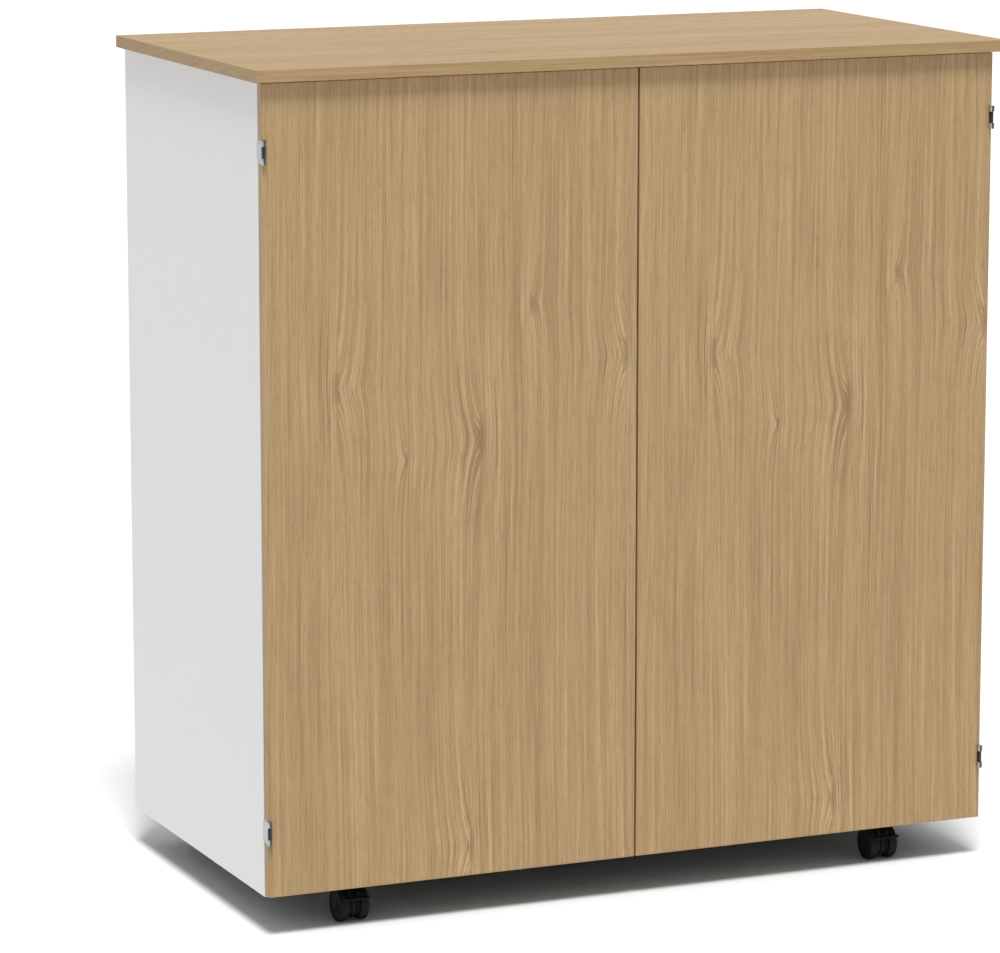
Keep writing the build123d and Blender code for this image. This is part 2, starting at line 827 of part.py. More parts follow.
def make_castor_hood(side, end):
    """Web between the wheels with a swivel cap above; front castors have a pedal slot."""
    x, y = castor_centre(side, end)
    middle = castor_plane(side, end)
    cap_bottom = hood_top - hood_cap_thickness
    nose_forward = hood_radius - hood_nose_setback
    nose_bottom = pedal_pivot_height - hood_nose_below
    nose_top = pedal_pivot_height + hood_nose_above
    heel_back = -castor_trail - king_pin_radius - hood_heel_wall
    with BuildPart() as hood:
        with BuildSketch(middle):
            with Locations((0, wheel_radius)):
                Circle(hood_radius)
            with BuildLine():
                Polyline(
                    (nose_forward, nose_bottom),
                    (nose_forward, nose_top),
                    (wheel_hub_radius, cap_bottom),
                    (heel_back, cap_bottom),
                    (heel_back, nose_bottom),
                    (-hood_radius, wheel_radius),
                    close=True,
                )
            make_face()
        extrude(amount=hood_half_width, both=True)
        # Grooves that leave three ribs round the web
        for offset in (-hood_groove_offset, hood_groove_offset):
            with BuildSketch(middle.offset(offset)):
                with Locations((0, wheel_radius)):
                    Circle(hood_radius + hood_groove_depth)
                    Circle(hood_radius - hood_groove_depth, mode=Mode.SUBTRACT)
                with Locations((0, nose_bottom)):
                    Rectangle(
                        4 * hood_radius,
                        2 * hood_radius,
                        align=(Align.CENTER, Align.MIN),
                        mode=Mode.SUBTRACT,
                    )
            extrude(amount=hood_groove_width / 2, both=True, mode=Mode.SUBTRACT)
        with BuildSketch(Plane.XY.offset(cap_bottom)):
            with Locations((x, y)):
                Circle(hood_cap_radius)
        extrude(amount=hood_cap_thickness)
        swivel_seat = seat(x, y, hood_top, (0, 0, 1))
        drill(
            [swivel_seat],
            king_pin_radius + king_pin_clearance,
            hood_top - plate_z + king_pin_length + plate_boss_gap,
        )
        axle_seat = seat(
            x + hood_half_width, y + end * castor_trail, wheel_radius, (1, 0, 0)
        )
        drill([axle_seat], axle_radius + axle_fit, 2 * hood_half_width)
        if end == FRONT:
            pivot_y = y + end * (castor_trail + pedal_pivot_forward)
            block(
                (x - pedal_slot_half_width, x + pedal_slot_half_width),
                (pivot_y + hood_radius / 2 - pedal_hub_radius, pivot_y - hood_radius),
                (nose_bottom - pedal_slot_margin, cap_bottom),
                Mode.SUBTRACT,
            )
            trunnion_seat = seat(x + hood_half_width, pivot_y, pedal_pivot_height, (1, 0, 0))
            drill(
                [trunnion_seat],
                pedal_trunnion_radius + pedal_trunnion_clearance,
                2 * hood_half_width,
            )
    save(hood.part, f"{castor_names[side, end]}_castor_hood")


def make_castor_axle(side, end):
    x, y = castor_centre(side, end)
    half_length = wheel_inner + wheel_width - wheel_cap_thickness - axle_end_gap
    with BuildPart() as axle:
        with BuildSketch(Plane.YZ.offset(x)):
            with Locations((y + end * castor_trail, wheel_radius)):
                Circle(axle_radius)
        extrude(amount=half_length, both=True)
        chamfer(axle.edges().filter_by(GeomType.CIRCLE), axle_end_gap)
    save(axle.part, f"{castor_names[side, end]}_castor_axle")


def make_wheel(side, end, hand):
    """One of the twin wheels: dished inner face, closed outer face, blind bore for the axle."""
    x, y = castor_centre(side, end)
    origin = (x + hand * wheel_inner, y + end * castor_trail, wheel_radius)
    # Local x runs outwards along the axle and local y is the radius
    section = Plane(origin=origin, x_dir=(hand, 0, 0), z_dir=(0, -hand, 0))
    bore = axle_radius + axle_running_clearance
    rim = wheel_radius - wheel_rim_depth
    cap_inside = wheel_width - wheel_cap_thickness
    round_start = wheel_radius - wheel_edge_radius
    arc_share = wheel_edge_radius * (1 - sqrt(0.5))
    with BuildPart() as wheel:
        with BuildSketch(section):
            with BuildLine():
                Polyline(
                    (0, round_start),
                    (0, rim),
                    (wheel_dish, rim - wheel_cap_step),
                    (wheel_dish, wheel_hub_radius + wheel_cap_step),
                    (0, wheel_hub_radius),
                    (0, bore),
                    (cap_inside, bore),
                    (cap_inside, 0),
                    (wheel_width, 0),
                    (wheel_width, wheel_hub_radius),
                    (wheel_width - wheel_cap_step, wheel_hub_radius + wheel_cap_step),
                    (wheel_width - wheel_cap_step, rim - wheel_cap_step),
                    (wheel_width, rim),
                    (wheel_width, round_start),
                )
                ThreePointArc(
                    (wheel_width, round_start),
                    (wheel_width - arc_share, wheel_radius - arc_share),
                    (wheel_width - wheel_edge_radius, wheel_radius),
                )
                Line(
                    (wheel_width - wheel_edge_radius, wheel_radius),
                    (wheel_edge_radius, wheel_radius),
                )
                ThreePointArc(
                    (wheel_edge_radius, wheel_radius),
                    (arc_share, wheel_radius - arc_share),
                    (0, round_start),
                )
            make_face()
        revolve(axis=Axis(section.origin, section.x_dir))
    save(wheel.part, f"{castor_names[side, end]}_{SIDE_NAMES[hand]}_wheel")


def make_brake_pedal(side):
    """Foot pedal of a front castor, hung on its trunnions between the cheeks of the hood."""
    middle = castor_plane(side, FRONT)
    plate_top = pedal_plate_height + pedal_plate_thickness
    with BuildPart() as pedal:
        with BuildSketch(middle):
            with Locations((pedal_pivot_forward, pedal_pivot_height)):
                Circle(pedal_hub_radius)
            with BuildLine():
                Polyline(
                    (pedal_pivot_forward, pedal_pivot_height - pedal_hub_radius),
                    (pedal_pivot_forward, pedal_pivot_height + pedal_hub_radius),
                    (pedal_reach_inner, plate_top),
                    (pedal_reach_inner, pedal_plate_height),
                    close=True,
                )
            make_face()
        extrude(amount=pedal_arm_half_width, both=True)
        with BuildSketch(middle):
            with BuildLine():
                Polyline(
                    (pedal_reach_inner, pedal_plate_height),
                    (pedal_reach_inner, plate_top),
                    (pedal_reach_outer, plate_top - pedal_plate_taper),
                    (pedal_reach_outer, pedal_plate_height),
                    close=True,
                )
            make_face()
        extrude(amount=pedal_half_width, both=True)
        outer_edges = pedal.edges().filter_by(Axis.Z).group_by(Axis.Y)[0]
        fillet(outer_edges, pedal_plate_thickness)
        with BuildSketch(middle):
            with Locations((pedal_pivot_forward, pedal_pivot_height)):
                Circle(pedal_trunnion_radius)
        extrude(amount=hood_half_width, both=True)
    save(pedal.part, f"{castor_names[side, FRONT]}_brake_pedal")


# ---------------------------------------------------------------- build everything
make_top_board()
make_bottom_panel()
make_centre_partition()
make_back_panel()
make_shelf_pins()
make_dowels()
make_cam_bolts()
make_cam_discs()
make_hinge_pins()
for side in (LEFT, RIGHT):
    make_side_panel(side)
    make_door(side)
    make_latch(side)
    for level_name, underside in shelf_undersides.items():
        make_shelf(side, level_name, underside)
    for level_name in hinge_levels:
        make_hinge_wing(side, level_name)
        make_hinge_leaf(side, level_name)
    make_brake_pedal(side)

for side, end in all_castors:
    make_castor_plate(side, end)
    make_castor_hood(side, end)
    make_castor_axle(side, end)
    for hand in (LEFT, RIGHT):
        make_wheel(side, end, hand)

wood_screw = make_screw(screw_length)
wing_seats = [
    place
    for side in (LEFT, RIGHT)
    for level in hinge_levels.values()
    for place in wing_screw_seats(side, level)
]
save_group(wood_screw, wing_seats, "hinge_wing_screws")
latch_seats = [place for side in (LEFT, RIGHT) for place in latch_screw_seats(side)]
save_group(wood_screw, latch_seats, "latch_screws")
for side in (LEFT, RIGHT):
    door_seats = strike_screw_seats(side)
    for level in hinge_levels.values():
        door_seats += leaf_screw_seats(side, level)
    save_group(wood_screw, door_seats, f"{SIDE_NAMES[side]}_door_screws")
save_group(make_screw(back_screw_length), back_seats, "back_panel_screws")
save_group(make_screw(plate_screw_length), castor_plate_seats, "castor_plate_screws")
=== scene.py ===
"""Finishes and small parts of a two-door housekeeping cupboard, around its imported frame.

Metres. +X is the cupboard's right, +Y its back and +Z up, as in the frame.
"""

import json
import math

import bmesh
import bpy
from bpy.props import FloatProperty, FloatVectorProperty, IntProperty, PointerProperty
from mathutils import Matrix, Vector


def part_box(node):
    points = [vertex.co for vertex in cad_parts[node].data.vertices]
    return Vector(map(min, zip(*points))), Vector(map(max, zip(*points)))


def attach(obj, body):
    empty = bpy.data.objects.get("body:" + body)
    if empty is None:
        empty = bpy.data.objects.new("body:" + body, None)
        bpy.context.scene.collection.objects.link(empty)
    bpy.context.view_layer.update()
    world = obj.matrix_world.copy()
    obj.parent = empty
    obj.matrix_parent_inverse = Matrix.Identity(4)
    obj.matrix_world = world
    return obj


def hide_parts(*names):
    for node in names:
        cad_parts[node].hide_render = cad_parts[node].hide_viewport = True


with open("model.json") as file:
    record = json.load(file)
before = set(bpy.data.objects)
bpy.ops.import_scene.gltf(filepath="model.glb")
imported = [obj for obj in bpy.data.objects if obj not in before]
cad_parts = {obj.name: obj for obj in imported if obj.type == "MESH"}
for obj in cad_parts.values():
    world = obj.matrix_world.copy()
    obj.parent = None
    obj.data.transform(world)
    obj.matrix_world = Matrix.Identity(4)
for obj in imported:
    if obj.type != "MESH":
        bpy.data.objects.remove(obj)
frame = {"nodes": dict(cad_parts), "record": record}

bl_info = {
    "name": "Housekeeping cupboard",
    "version": (1, 0, 0),
    "blender": (4, 5, 0),
    "location": "3D View > Sidebar > Cupboard",
    "description": "Finishes, hinges, castors and screws of a two-door cupboard",
    "category": "Object",
}

MM = 0.001
EYE_RADIUS = 4.0 * MM  # of the hinge wings' eyes
WELD = 2e-6  # corners nearer than this are one corner
NODES = frame["nodes"]
SIDES = ("left", "right")
LEVELS = ("lower", "upper")
CASTORS = ("front_left", "front_right", "rear_left", "rear_right")
BODY_OF = {
    node: body
    for body, members in frame["record"]["behaviour"]["bodies"].items()
    for node in members
}


# ---------------------------------------------------------------- sizes and colours
def size(name, default, note):
    """A length that a user may change."""
    return FloatProperty(
        name=name, description=note, default=default, min=0.0, unit="LENGTH", precision=5
    )


def colour(name, default, note):
    """A colour that a user may change."""
    return FloatVectorProperty(
        name=name, description=note, default=default, min=0.0, max=1.0, size=3, subtype="COLOR"
    )


def number(name, default, note):
    """A plain number that a user may change."""
    return FloatProperty(name=name, description=note, default=default)


class CupboardBoards(bpy.types.PropertyGroup):
    """Board finishes."""

    oak_light: colour("Oak light", (0.515, 0.356, 0.184), "Early wood of the oak finish")
    oak_dark: colour("Oak dark", (0.292, 0.187, 0.078), "Late wood of the oak finish")
    oak_pore: colour("Oak pores", (0.170, 0.100, 0.036), "Pores and knots of the oak finish")
    oak_roughness: number("Oak roughness", 0.52, "Mean roughness of the oak finish")
    white: colour("White", (0.80, 0.802, 0.805), "White laminate")
    white_roughness: number("White roughness", 0.5, "Mean roughness of the white laminate")
    # Painted shade: a dark underside for the bottom panel, which darkens the floor shadow beneath
    # the cupboard
    underside_shade: colour("Sealed", (0.16, 0.16, 0.16), "Underside of the bottom panel")
    band_line: size("Band line", 0.0007, "Thickness of the edge band where it meets a face")
    print_shift_x: size("Print shift across", 0.012, "Right door's oak print, moved across")
    print_shift_z: size("Print shift up", 0.013, "Right door's oak print, moved up")


class CupboardMetals(bpy.types.PropertyGroup):
    """Metal and plastic finishes."""

    nickel: colour("Nickel", (0.46, 0.46, 0.47), "Plated hinge wings")
    # Painted reflection: this dark colour on the front of the hinge eyes stands in for what the
    # plated eyes mirror
    nickel_dark_reflection: colour("Nickel shade", (0.10, 0.10, 0.11), "Round faces of the hinge eyes")
    black: colour("Black", (0.004, 0.004, 0.0045), "Black hinge leaves")
    zinc: colour("Zinc", (0.55, 0.56, 0.57), "Zinc-plated steel")
    cast: colour("Cast zinc", (0.42, 0.42, 0.43), "Cam discs")
    castor: colour("Castor nylon", (0.010, 0.010, 0.011), "Castor hoods and pedals")
    tread: colour("Wheel nylon", (0.012, 0.012, 0.013), "Castor wheels")
    grey: colour("Grey plastic", (0.27, 0.27, 0.28), "Latch housings")
    pale: colour("Pale plastic", (0.70, 0.70, 0.69), "Latch plungers")
    beech_light: colour("Beech light", (0.66, 0.47, 0.30), "Light grain of the dowels")
    beech_dark: colour("Beech dark", (0.47, 0.31, 0.18), "Dark grain of the dowels")


class CupboardWheels(bpy.types.PropertyGroup):
    """Castor wheels."""

    edge: size("Edge", 0.0032, "Radius of the tread's edges")
    rim: size("Rim", 0.0042, "Height of the rim round the dished face")
    dish: size("Dish", 0.0016, "Depth of the dished outer face")
    cap: size("Cap", 0.0062, "Radius of the hub cap")
    bore: size("Bore", 0.00305, "Radius of the bore for the axle")
    groove: size("Groove", 0.0005, "Depth of the parting groove round the tread")
    boss: size("Boss", 0.0075, "Radius of the boss on the inner face")
    hollow: size("Hollow", 0.003, "Depth of the hollow round the boss")
    segments: IntProperty(name="Segments", description="Faces round a wheel", default=72)


class CupboardScrews(bpy.types.PropertyGroup):
    """Countersunk screws."""

    head: size("Head radius", 0.0034, "Radius of the head")
    shank: size("Shank radius", 0.00175, "Radius of the shank")
    recess: size("Recess width", 0.0008, "Width of each arm of the cross recess")
    recess_length: size("Recess length", 0.0038, "Length of the cross recess")
    recess_depth: size("Recess depth", 0.0012, "Depth of the cross recess")


class CupboardSoftening(bpy.types.PropertyGroup):
    """Rounded edges of the small parts."""

    metal: size("Metal", 0.00028, "Rounding of pressed metal edges")
    moulded: size("Moulded", 0.0005, "Rounding of moulded plastic edges")


class CupboardStage(bpy.types.PropertyGroup):
    """Floor, light and camera."""

    floor_side: size("Floor", 90.0, "Side of the square floor")
    floor: colour("Floor colour", (0.90, 0.90, 0.90), "Pale floor")
    sky_low: number("Low sky", 0.05, "Strength of the soft light at the horizon")
    sky_rise: number("Sky rise", 0.60, "How much stronger that light is straight above")
    mirrored: number("Mirrored", 0.70, "Strength of the backdrop as glosses mirror it")
    key: number("Key", 2.85, "Strength of the key light")
    key_tilt: number("Key tilt", 23.0, "Degrees of the key light in front of straight above")
    key_side: number("Key side", -9.0, "Degrees of the key light to the right of the middle")
    key_spread: number("Key spread", 17.0, "Apparent width of the key light, in degrees")
    lens: number("Lens", 169.9, "Focal length in millimetres on a 36 mm sensor")
    azimuth: number("Azimuth", 23.512, "Degrees by which the camera stands to the left")
    elevation: number("Elevation", 10.505, "Degrees by which the camera looks down")
    place: FloatVectorProperty(
        name="Place", description="The camera's place", size=3,
        default=(-2.9174, -6.4847, 1.9107), unit="LENGTH",
    )


GROUPS = {
    "cupboard_boards": CupboardBoards,
    "cupboard_metals": CupboardMetals,
    "cupboard_wheels": CupboardWheels,
    "cupboard_screws": CupboardScrews,
    "cupboard_softening": CupboardSoftening,
    "cupboard_stage": CupboardStage,
}


# ---------------------------------------------------------------- shader helpers
class Wiring:
    """Adds and links nodes in one tree, in few words."""

    def __init__(self, tree):
        self.tree = tree

    def add(self, kind, **settings):
        """A node. settings are its properties, and inputs maps its sockets to values or sockets."""
        inputs = settings.pop("inputs", {})
        node = self.tree.nodes.new(kind)
        for key, value in settings.items():
            setattr(node, key, value)
        for key, value in inputs.items():
            self.feed(node.inputs[key], value)
        return node

    def feed(self, socket, value):
        """Links a socket to a socket, or sets its value."""
        if isinstance(value, bpy.types.NodeSocket):
            self.tree.links.new(value, socket)
        else:
            socket.default_value = value

    def math(self, operation, a, b=0.0, c=0.0, clamp=False):
        node = self.add("ShaderNodeMath", operation=operation, use_clamp=clamp)
        for socket, value in zip(node.inputs, (a, b, c)):
            self.feed(socket, value)
        return node.outputs[0]

    def vector(self, x, y, z):
        return self.add("ShaderNodeCombineXYZ", inputs={0: x, 1: y, 2: z}).outputs[0]

    def stretched(self, parts, factors):
        """A vector of three parts, each times its factor."""
        return self.vector(*(self.math("MULTIPLY", *pair) for pair in zip(parts, factors)))

    def split(self, vector):
        return self.add("ShaderNodeSeparateXYZ", inputs={0: vector}).outputs

    def noise(self, vector, scale, detail=2.0, roughness=0.5):
        node = self.add(
            "ShaderNodeTexNoise",
            inputs={"Vector": vector, "Scale": scale, "Detail": detail, "Roughness": roughness},
        )
        return node.outputs["Fac"]

    def remap(self, value, low, high, to_low=0.0, to_high=1.0):
        """Low to high becomes 0 to 1 or another range, and stays inside it."""
        node = self.add("ShaderNodeMapRange", clamp=True)
        for key, item in zip((0, 1, 2, 3, 4), (value, low, high, to_low, to_high)):
            self.feed(node.inputs[key], item)
        return node.outputs[0]

    def mix(self, factor, a, b, blend="MIX"):
        node = self.add("ShaderNodeMix", data_type="RGBA", blend_type=blend)
        for key, item in ((0, factor), (6, a), (7, b)):
            self.feed(node.inputs[key], item)
        return node.outputs[2]

    def mix_vector(self, factor, a, b):
        node = self.add("ShaderNodeMix", data_type="VECTOR")
        for key, item in ((0, factor), (4, a), (5, b)):
            self.feed(node.inputs[key], item)
        return node.outputs[1]

    def group(self, tree, **inputs):
        """A node group with its inputs fed; returns its outputs."""
        node = self.add("ShaderNodeGroup", node_tree=tree)
        for key, value in inputs.items():
            self.feed(node.inputs[key.replace("_", " ")], value)
        return node.outputs


SOCKETS = {"value": "NodeSocketFloat", "vector": "NodeSocketVector", "colour": "NodeSocketColor"}


def shader_group(name, inputs, outputs, build):
    """A shader node group, made once; build gets its wiring, its inputs and feeds its outputs."""
    tree = bpy.data.node_groups.get(name)
    if tree:
        return tree
    tree = bpy.data.node_groups.new(name, "ShaderNodeTree")
    for key, kind in inputs.items():
        tree.interface.new_socket(name=key, in_out="INPUT", socket_type=SOCKETS[kind])
    for key, kind in outputs.items():
        tree.interface.new_socket(name=key, in_out="OUTPUT", socket_type=SOCKETS[kind])
    wiring = Wiring(tree)
    source = tree.nodes.new("NodeGroupInput")
    sink = tree.nodes.new("NodeGroupOutput")
    for key, value in build(wiring, source.outputs).items():
        wiring.feed(sink.inputs[key], value)
    return tree


# How the grain flows round a knot, in the knot's radii
KNOT_PULL = 1.45  # how far the lines beside it swing in
KNOT_REACH = 2.4  # how far out the swing dies away
KNOT_PART = 0.16  # how far the lines part at the knot itself
KNOT_FADE = 0.85  # how fast the swing dies away along the grain
KNOT_EYE = (9.0, 2.4)  # how small the dark eye is across and along
KNOT_SWIRL = 0.28  # how fast the stronger contrast round it dies away


def knot_flow():
    """How far the grain is pushed aside where it flows round one knot."""

    def build(w, given):
        x, _, z = w.split(given["Vector"])
        dx = w.math("MULTIPLY", w.math("SUBTRACT", x, given["Across"]), given["Side"])
        dz = w.math("MULTIPLY", w.math("SUBTRACT", z, given["Along"]), given["Reach"])
        radius = w.math("MULTIPLY", given["Radius"], given["Radius"])
        rise = w.math("DIVIDE", w.math("MULTIPLY", dz, dz), radius)
        spread = w.math("DIVIDE", w.math("MULTIPLY", dx, dx), radius)
        squared = w.math("ADD", rise, spread)
        # The lines on one side swing in towards the knot, and those beyond it part round it
        height = w.math("SQRT", w.math("ADD", rise, 0.06))
        fade = w.math("EXPONENT", w.math("MULTIPLY", height, -KNOT_FADE))
        reach = w.math("EXPONENT", w.math("DIVIDE", w.math("ABSOLUTE", dx),
                                          w.math("MULTIPLY", given["Radius"], -KNOT_REACH)))
        beyond = w.remap(dx, w.math("MULTIPLY", given["Radius"], -0.25),
                         w.math("MULTIPLY", given["Radius"], 0.10))
        swing = w.math("MULTIPLY", fade, reach)
        pull = w.math("MULTIPLY", swing, w.math("MULTIPLY", beyond, KNOT_PULL))
        part = w.math("DIVIDE", w.math("MULTIPLY", dx, -KNOT_PART), w.math("ADD", squared, 0.5))
        move = w.math("MULTIPLY_ADD", pull, given["Radius"], part)
        eye = w.math("MULTIPLY_ADD", spread, KNOT_EYE[0], w.math("MULTIPLY", rise, KNOT_EYE[1]))
        return {
            "Shift": w.math("MULTIPLY", move, given["Side"]),
            "Core": w.remap(eye, 0.05, 1.0, 1.0, 0.0),
            "Swirl": w.math("EXPONENT", w.math("MULTIPLY", squared, -KNOT_SWIRL)),
        }

    inputs = {
        "Vector": "vector", "Across": "value", "Along": "value", "Radius": "value",
        "Reach": "value", "Side": "value",
    }
    outputs = {"Shift": "value", "Core": "value", "Swirl": "value"}
    return shader_group("knot_flow", inputs, outputs, build)


# Noise layers of the wood: features per metre across and along the grain, the noise's detail and
# roughness, and the part of its range that becomes 0 to 1
GRAIN_LAYERS = {
    "bands": (11.0, 0.35, 2.0, 0.55, 0.30, 0.70),
    "streaks": (190.0, 1.9, 3.0, 0.62, 0.33, 0.67),
    "lines": (560.0, 5.5, 2.0, 0.62, 0.31, 0.69),
    "fine": (950.0, 7.0, 2.0, 0.60, 0.36, 0.64),
    "pores": (1100.0, 48.0, 1.0, 0.55, 0.54, 0.70),
    "deep": (340.0, 3.6, 2.0, 0.55, 0.56, 0.70),
    "pale": (290.0, 3.2, 1.0, 0.55, 0.57, 0.69),
}
TONE = {"bands": 0.20, "streaks": 0.38, "lines": 0.42}  # shares of the layers in the tone
DARKENING = {"pores": 0.30, "deep": 0.24}  # how dark the darkest part of these layers is
SWAY = 0.05  # metres by which the grain drifts sideways along a board
SWAY_DETAIL = (2.6, 2.6, 0.55)  # features per metre of that drift
WOBBLE = 0.0055  # metres by which it wavers over a hand's width
WOBBLE_DETAIL = (18.0, 1.0, 6.0)


def wood_grain():
    """Straight grain along Z: broad bands, streaks, fine lines and short pores."""

    def build(w, given):
        x, y, z = w.split(given["Vector"])
        slow = w.stretched((x, y, z), SWAY_DETAIL)
        sway = w.math("MULTIPLY", w.math("SUBTRACT", w.noise(slow, 1.0, 2.0), 0.5), SWAY)
        quick = w.stretched((x, y, z), WOBBLE_DETAIL)
        wobble = w.math("MULTIPLY", w.math("SUBTRACT", w.noise(quick, 1.0, 3.0), 0.5), WOBBLE)
        across = w.math("ADD", w.math("ADD", x, given["Shift"]), w.math("ADD", sway, wobble))

        layers = {}
        for name, (fine, long, detail, roughness, low, high) in GRAIN_LAYERS.items():
            place = w.stretched((across, y, z), (fine, fine, long))
            layers[name] = w.remap(w.noise(place, 1.0, detail, roughness), low, high)
        pores = layers["pores"]
        # Where the lines spread round a knot, finer ones fill them
        near = w.math("MULTIPLY", given["Swirl"], 1.1, clamp=True)
        finer = w.math("SUBTRACT", layers["fine"], layers["lines"])
        lines = w.math("MULTIPLY_ADD", finer, near, layers["lines"])
        # The tone goes from dark to light grain, with more contrast near a knot
        tone = w.math("MULTIPLY", layers["bands"], TONE["bands"])
        tone = w.math("MULTIPLY_ADD", layers["streaks"], TONE["streaks"], tone)
        tone = w.math("MULTIPLY_ADD", lines, TONE["lines"], tone)
        contrast = w.math("MULTIPLY_ADD", given["Swirl"], 2.4, 1.15)
        tone = w.math("MULTIPLY_ADD", w.math("SUBTRACT", tone, 0.5), contrast, 0.5, clamp=True)
        base = w.mix(tone, given["Dark"], given["Light"])
        base = w.mix(w.math("MULTIPLY", layers["pale"], 0.40), base, given["Light"])
        # Pores, deep lines and the knots' eyes are darker still
        swirl = w.math("MULTIPLY_ADD", given["Swirl"], 0.3, 1.0)
        mask = w.math("MULTIPLY", layers["deep"], DARKENING["deep"])
        mask = w.math("MULTIPLY_ADD", pores, DARKENING["pores"], mask)
        mask = w.math("MULTIPLY", mask, swirl)
        mask = w.math("MULTIPLY_ADD", given["Core"], 0.42, mask, clamp=True)
        height = w.math("MULTIPLY_ADD", lines, 0.5, w.math("MULTIPLY", pores, -0.8))
        return {
            "Color": w.mix(mask, base, given["Pore"]),
            "Height": height,
            "Roughness": w.math("MULTIPLY_ADD", pores, 0.12, w.math("MULTIPLY", lines, 0.06)),
        }

    inputs = {
        "Vector": "vector", "Shift": "value", "Core": "value", "Swirl": "value",
        "Light": "colour", "Dark": "colour", "Pore": "colour",
    }
    outputs = {"Color": "colour", "Height": "value", "Roughness": "value"}
    return shader_group("wood_grain", inputs, outputs, build)


def board_edges():
    """Where a face meets the bands glued on a board's narrow sides: Line is 1 along that thin line,
    and Highlight, a painted highlight mask, is 1 at each edge and fades over the line's width.
    """

    def build(w, given):
        spot = w.split(given["Vector"])
        low = w.split(given["Low"])
        high = w.split(given["High"])
        gaps = []
        for axis in range(3):
            below = w.math("ABSOLUTE", w.math("SUBTRACT", spot[axis], low[axis]))
            above = w.math("ABSOLUTE", w.math("SUBTRACT", high[axis], spot[axis]))
            gaps.append(w.math("MINIMUM", below, above))
        # The two smallest gaps are both small only near an edge
        smallest = w.math("MINIMUM", w.math("MINIMUM", gaps[0], gaps[1]), gaps[2])
        middle = w.math(
            "MAXIMUM",
            w.math("MINIMUM", gaps[0], gaps[1]),
            w.math("MINIMUM", w.math("MAXIMUM", gaps[0], gaps[1]), gaps[2]),
        )
        distance = w.math("MAXIMUM", middle, smallest)
        width = given["Width"]
        line = w.remap(
            w.math("ABSOLUTE", w.math("SUBTRACT", distance, w.math("MULTIPLY", width, 1.5))),
            0.0, w.math("MULTIPLY", width, 0.5), 1.0, 0.0,
        )
        return {"Line": line, "Highlight": w.remap(distance, 0.0, width, 1.0, 0.0)}

    inputs = {"Vector": "vector", "Low": "vector", "High": "vector", "Width": "value"}
    return shader_group("board_edges", inputs, {"Line": "value", "Highlight": "value"}, build)


def fine_grain():
    """Fine moulded or plated grain, with a slow drift of tone across the surface."""

    def build(w, given):
        fine = w.noise(given["Vector"], given["Scale"], 3.0, 0.6)
        slow = w.noise(given["Vector"], w.math("MULTIPLY", given["Scale"], 0.02), 3.0)
        spread = w.math("SUBTRACT", fine, 0.5)
        drift = w.math("SUBTRACT", slow, 0.5)
        speck = w.math("MULTIPLY", spread, given["Speck"])
        tint = w.math("MULTIPLY_ADD", drift, given["Drift"], speck)
        lighter = w.math("ADD", 1.0, tint)
        shade = w.mix(1.0, given["Color"], w.vector(lighter, lighter, lighter), "MULTIPLY")
        roughness = w.math("MULTIPLY_ADD", w.math("ADD", spread, drift), 0.25, given["Roughness"])
        return {"Color": shade, "Height": fine, "Roughness": roughness}

    inputs = {
        "Vector": "vector", "Color": "colour", "Roughness": "value", "Scale": "value",
        "Drift": "value", "Speck": "value",
    }
    outputs = {"Color": "colour", "Height": "value", "Roughness": "value"}
    return shader_group("fine_grain", inputs, outputs, build)


def start_material(name):
    """An empty material with its wiring, shader and Object coordinates."""
    material = bpy.data.materials.new(name)
    material.use_nodes = True
    wiring = Wiring(material.node_tree)
    shader = material.node_tree.nodes["Principled BSDF"]
    spot = wiring.add("ShaderNodeTexCoord").outputs["Object"]
    return material, wiring, shader, spot


def bump(wiring, shader, height, distance, strength):
    """Feeds a height, in metres at its full strength, to the shader's normal."""
    node = wiring.add(
        "ShaderNodeBump", inputs={"Height": height, "Distance": distance, "Strength": strength}
    )
    wiring.feed(shader.inputs["Normal"], node.outputs[0])


def solid_colour(rgb):
    """The colour with full alpha, as sockets want it."""
    return (*rgb, 1.0)


# Knots of the doors' oak print: across from the door's left edge, up from the floor, radius,
# how much shorter the grain's swing is than a round one, and the side that swings in
DOOR_KNOTS = (
    (0.111, 0.806, 0.0200, 0.42, 1.0),
    (0.336, 0.716, 0.0230, 0.38, -1.0),
    (0.567, 0.824, 0.0190, 0.42, -1.0),
    (0.320, 0.108, 0.0190, 0.34, -1.0),
    (0.219, 0.690, 0.0095, 0.42, -1.0),
    (0.415, 0.910, 0.0110, 0.36, 1.0),
)
TOP_KNOTS = ((0.13, 0.41, 0.010, 0.35, 1.0),)


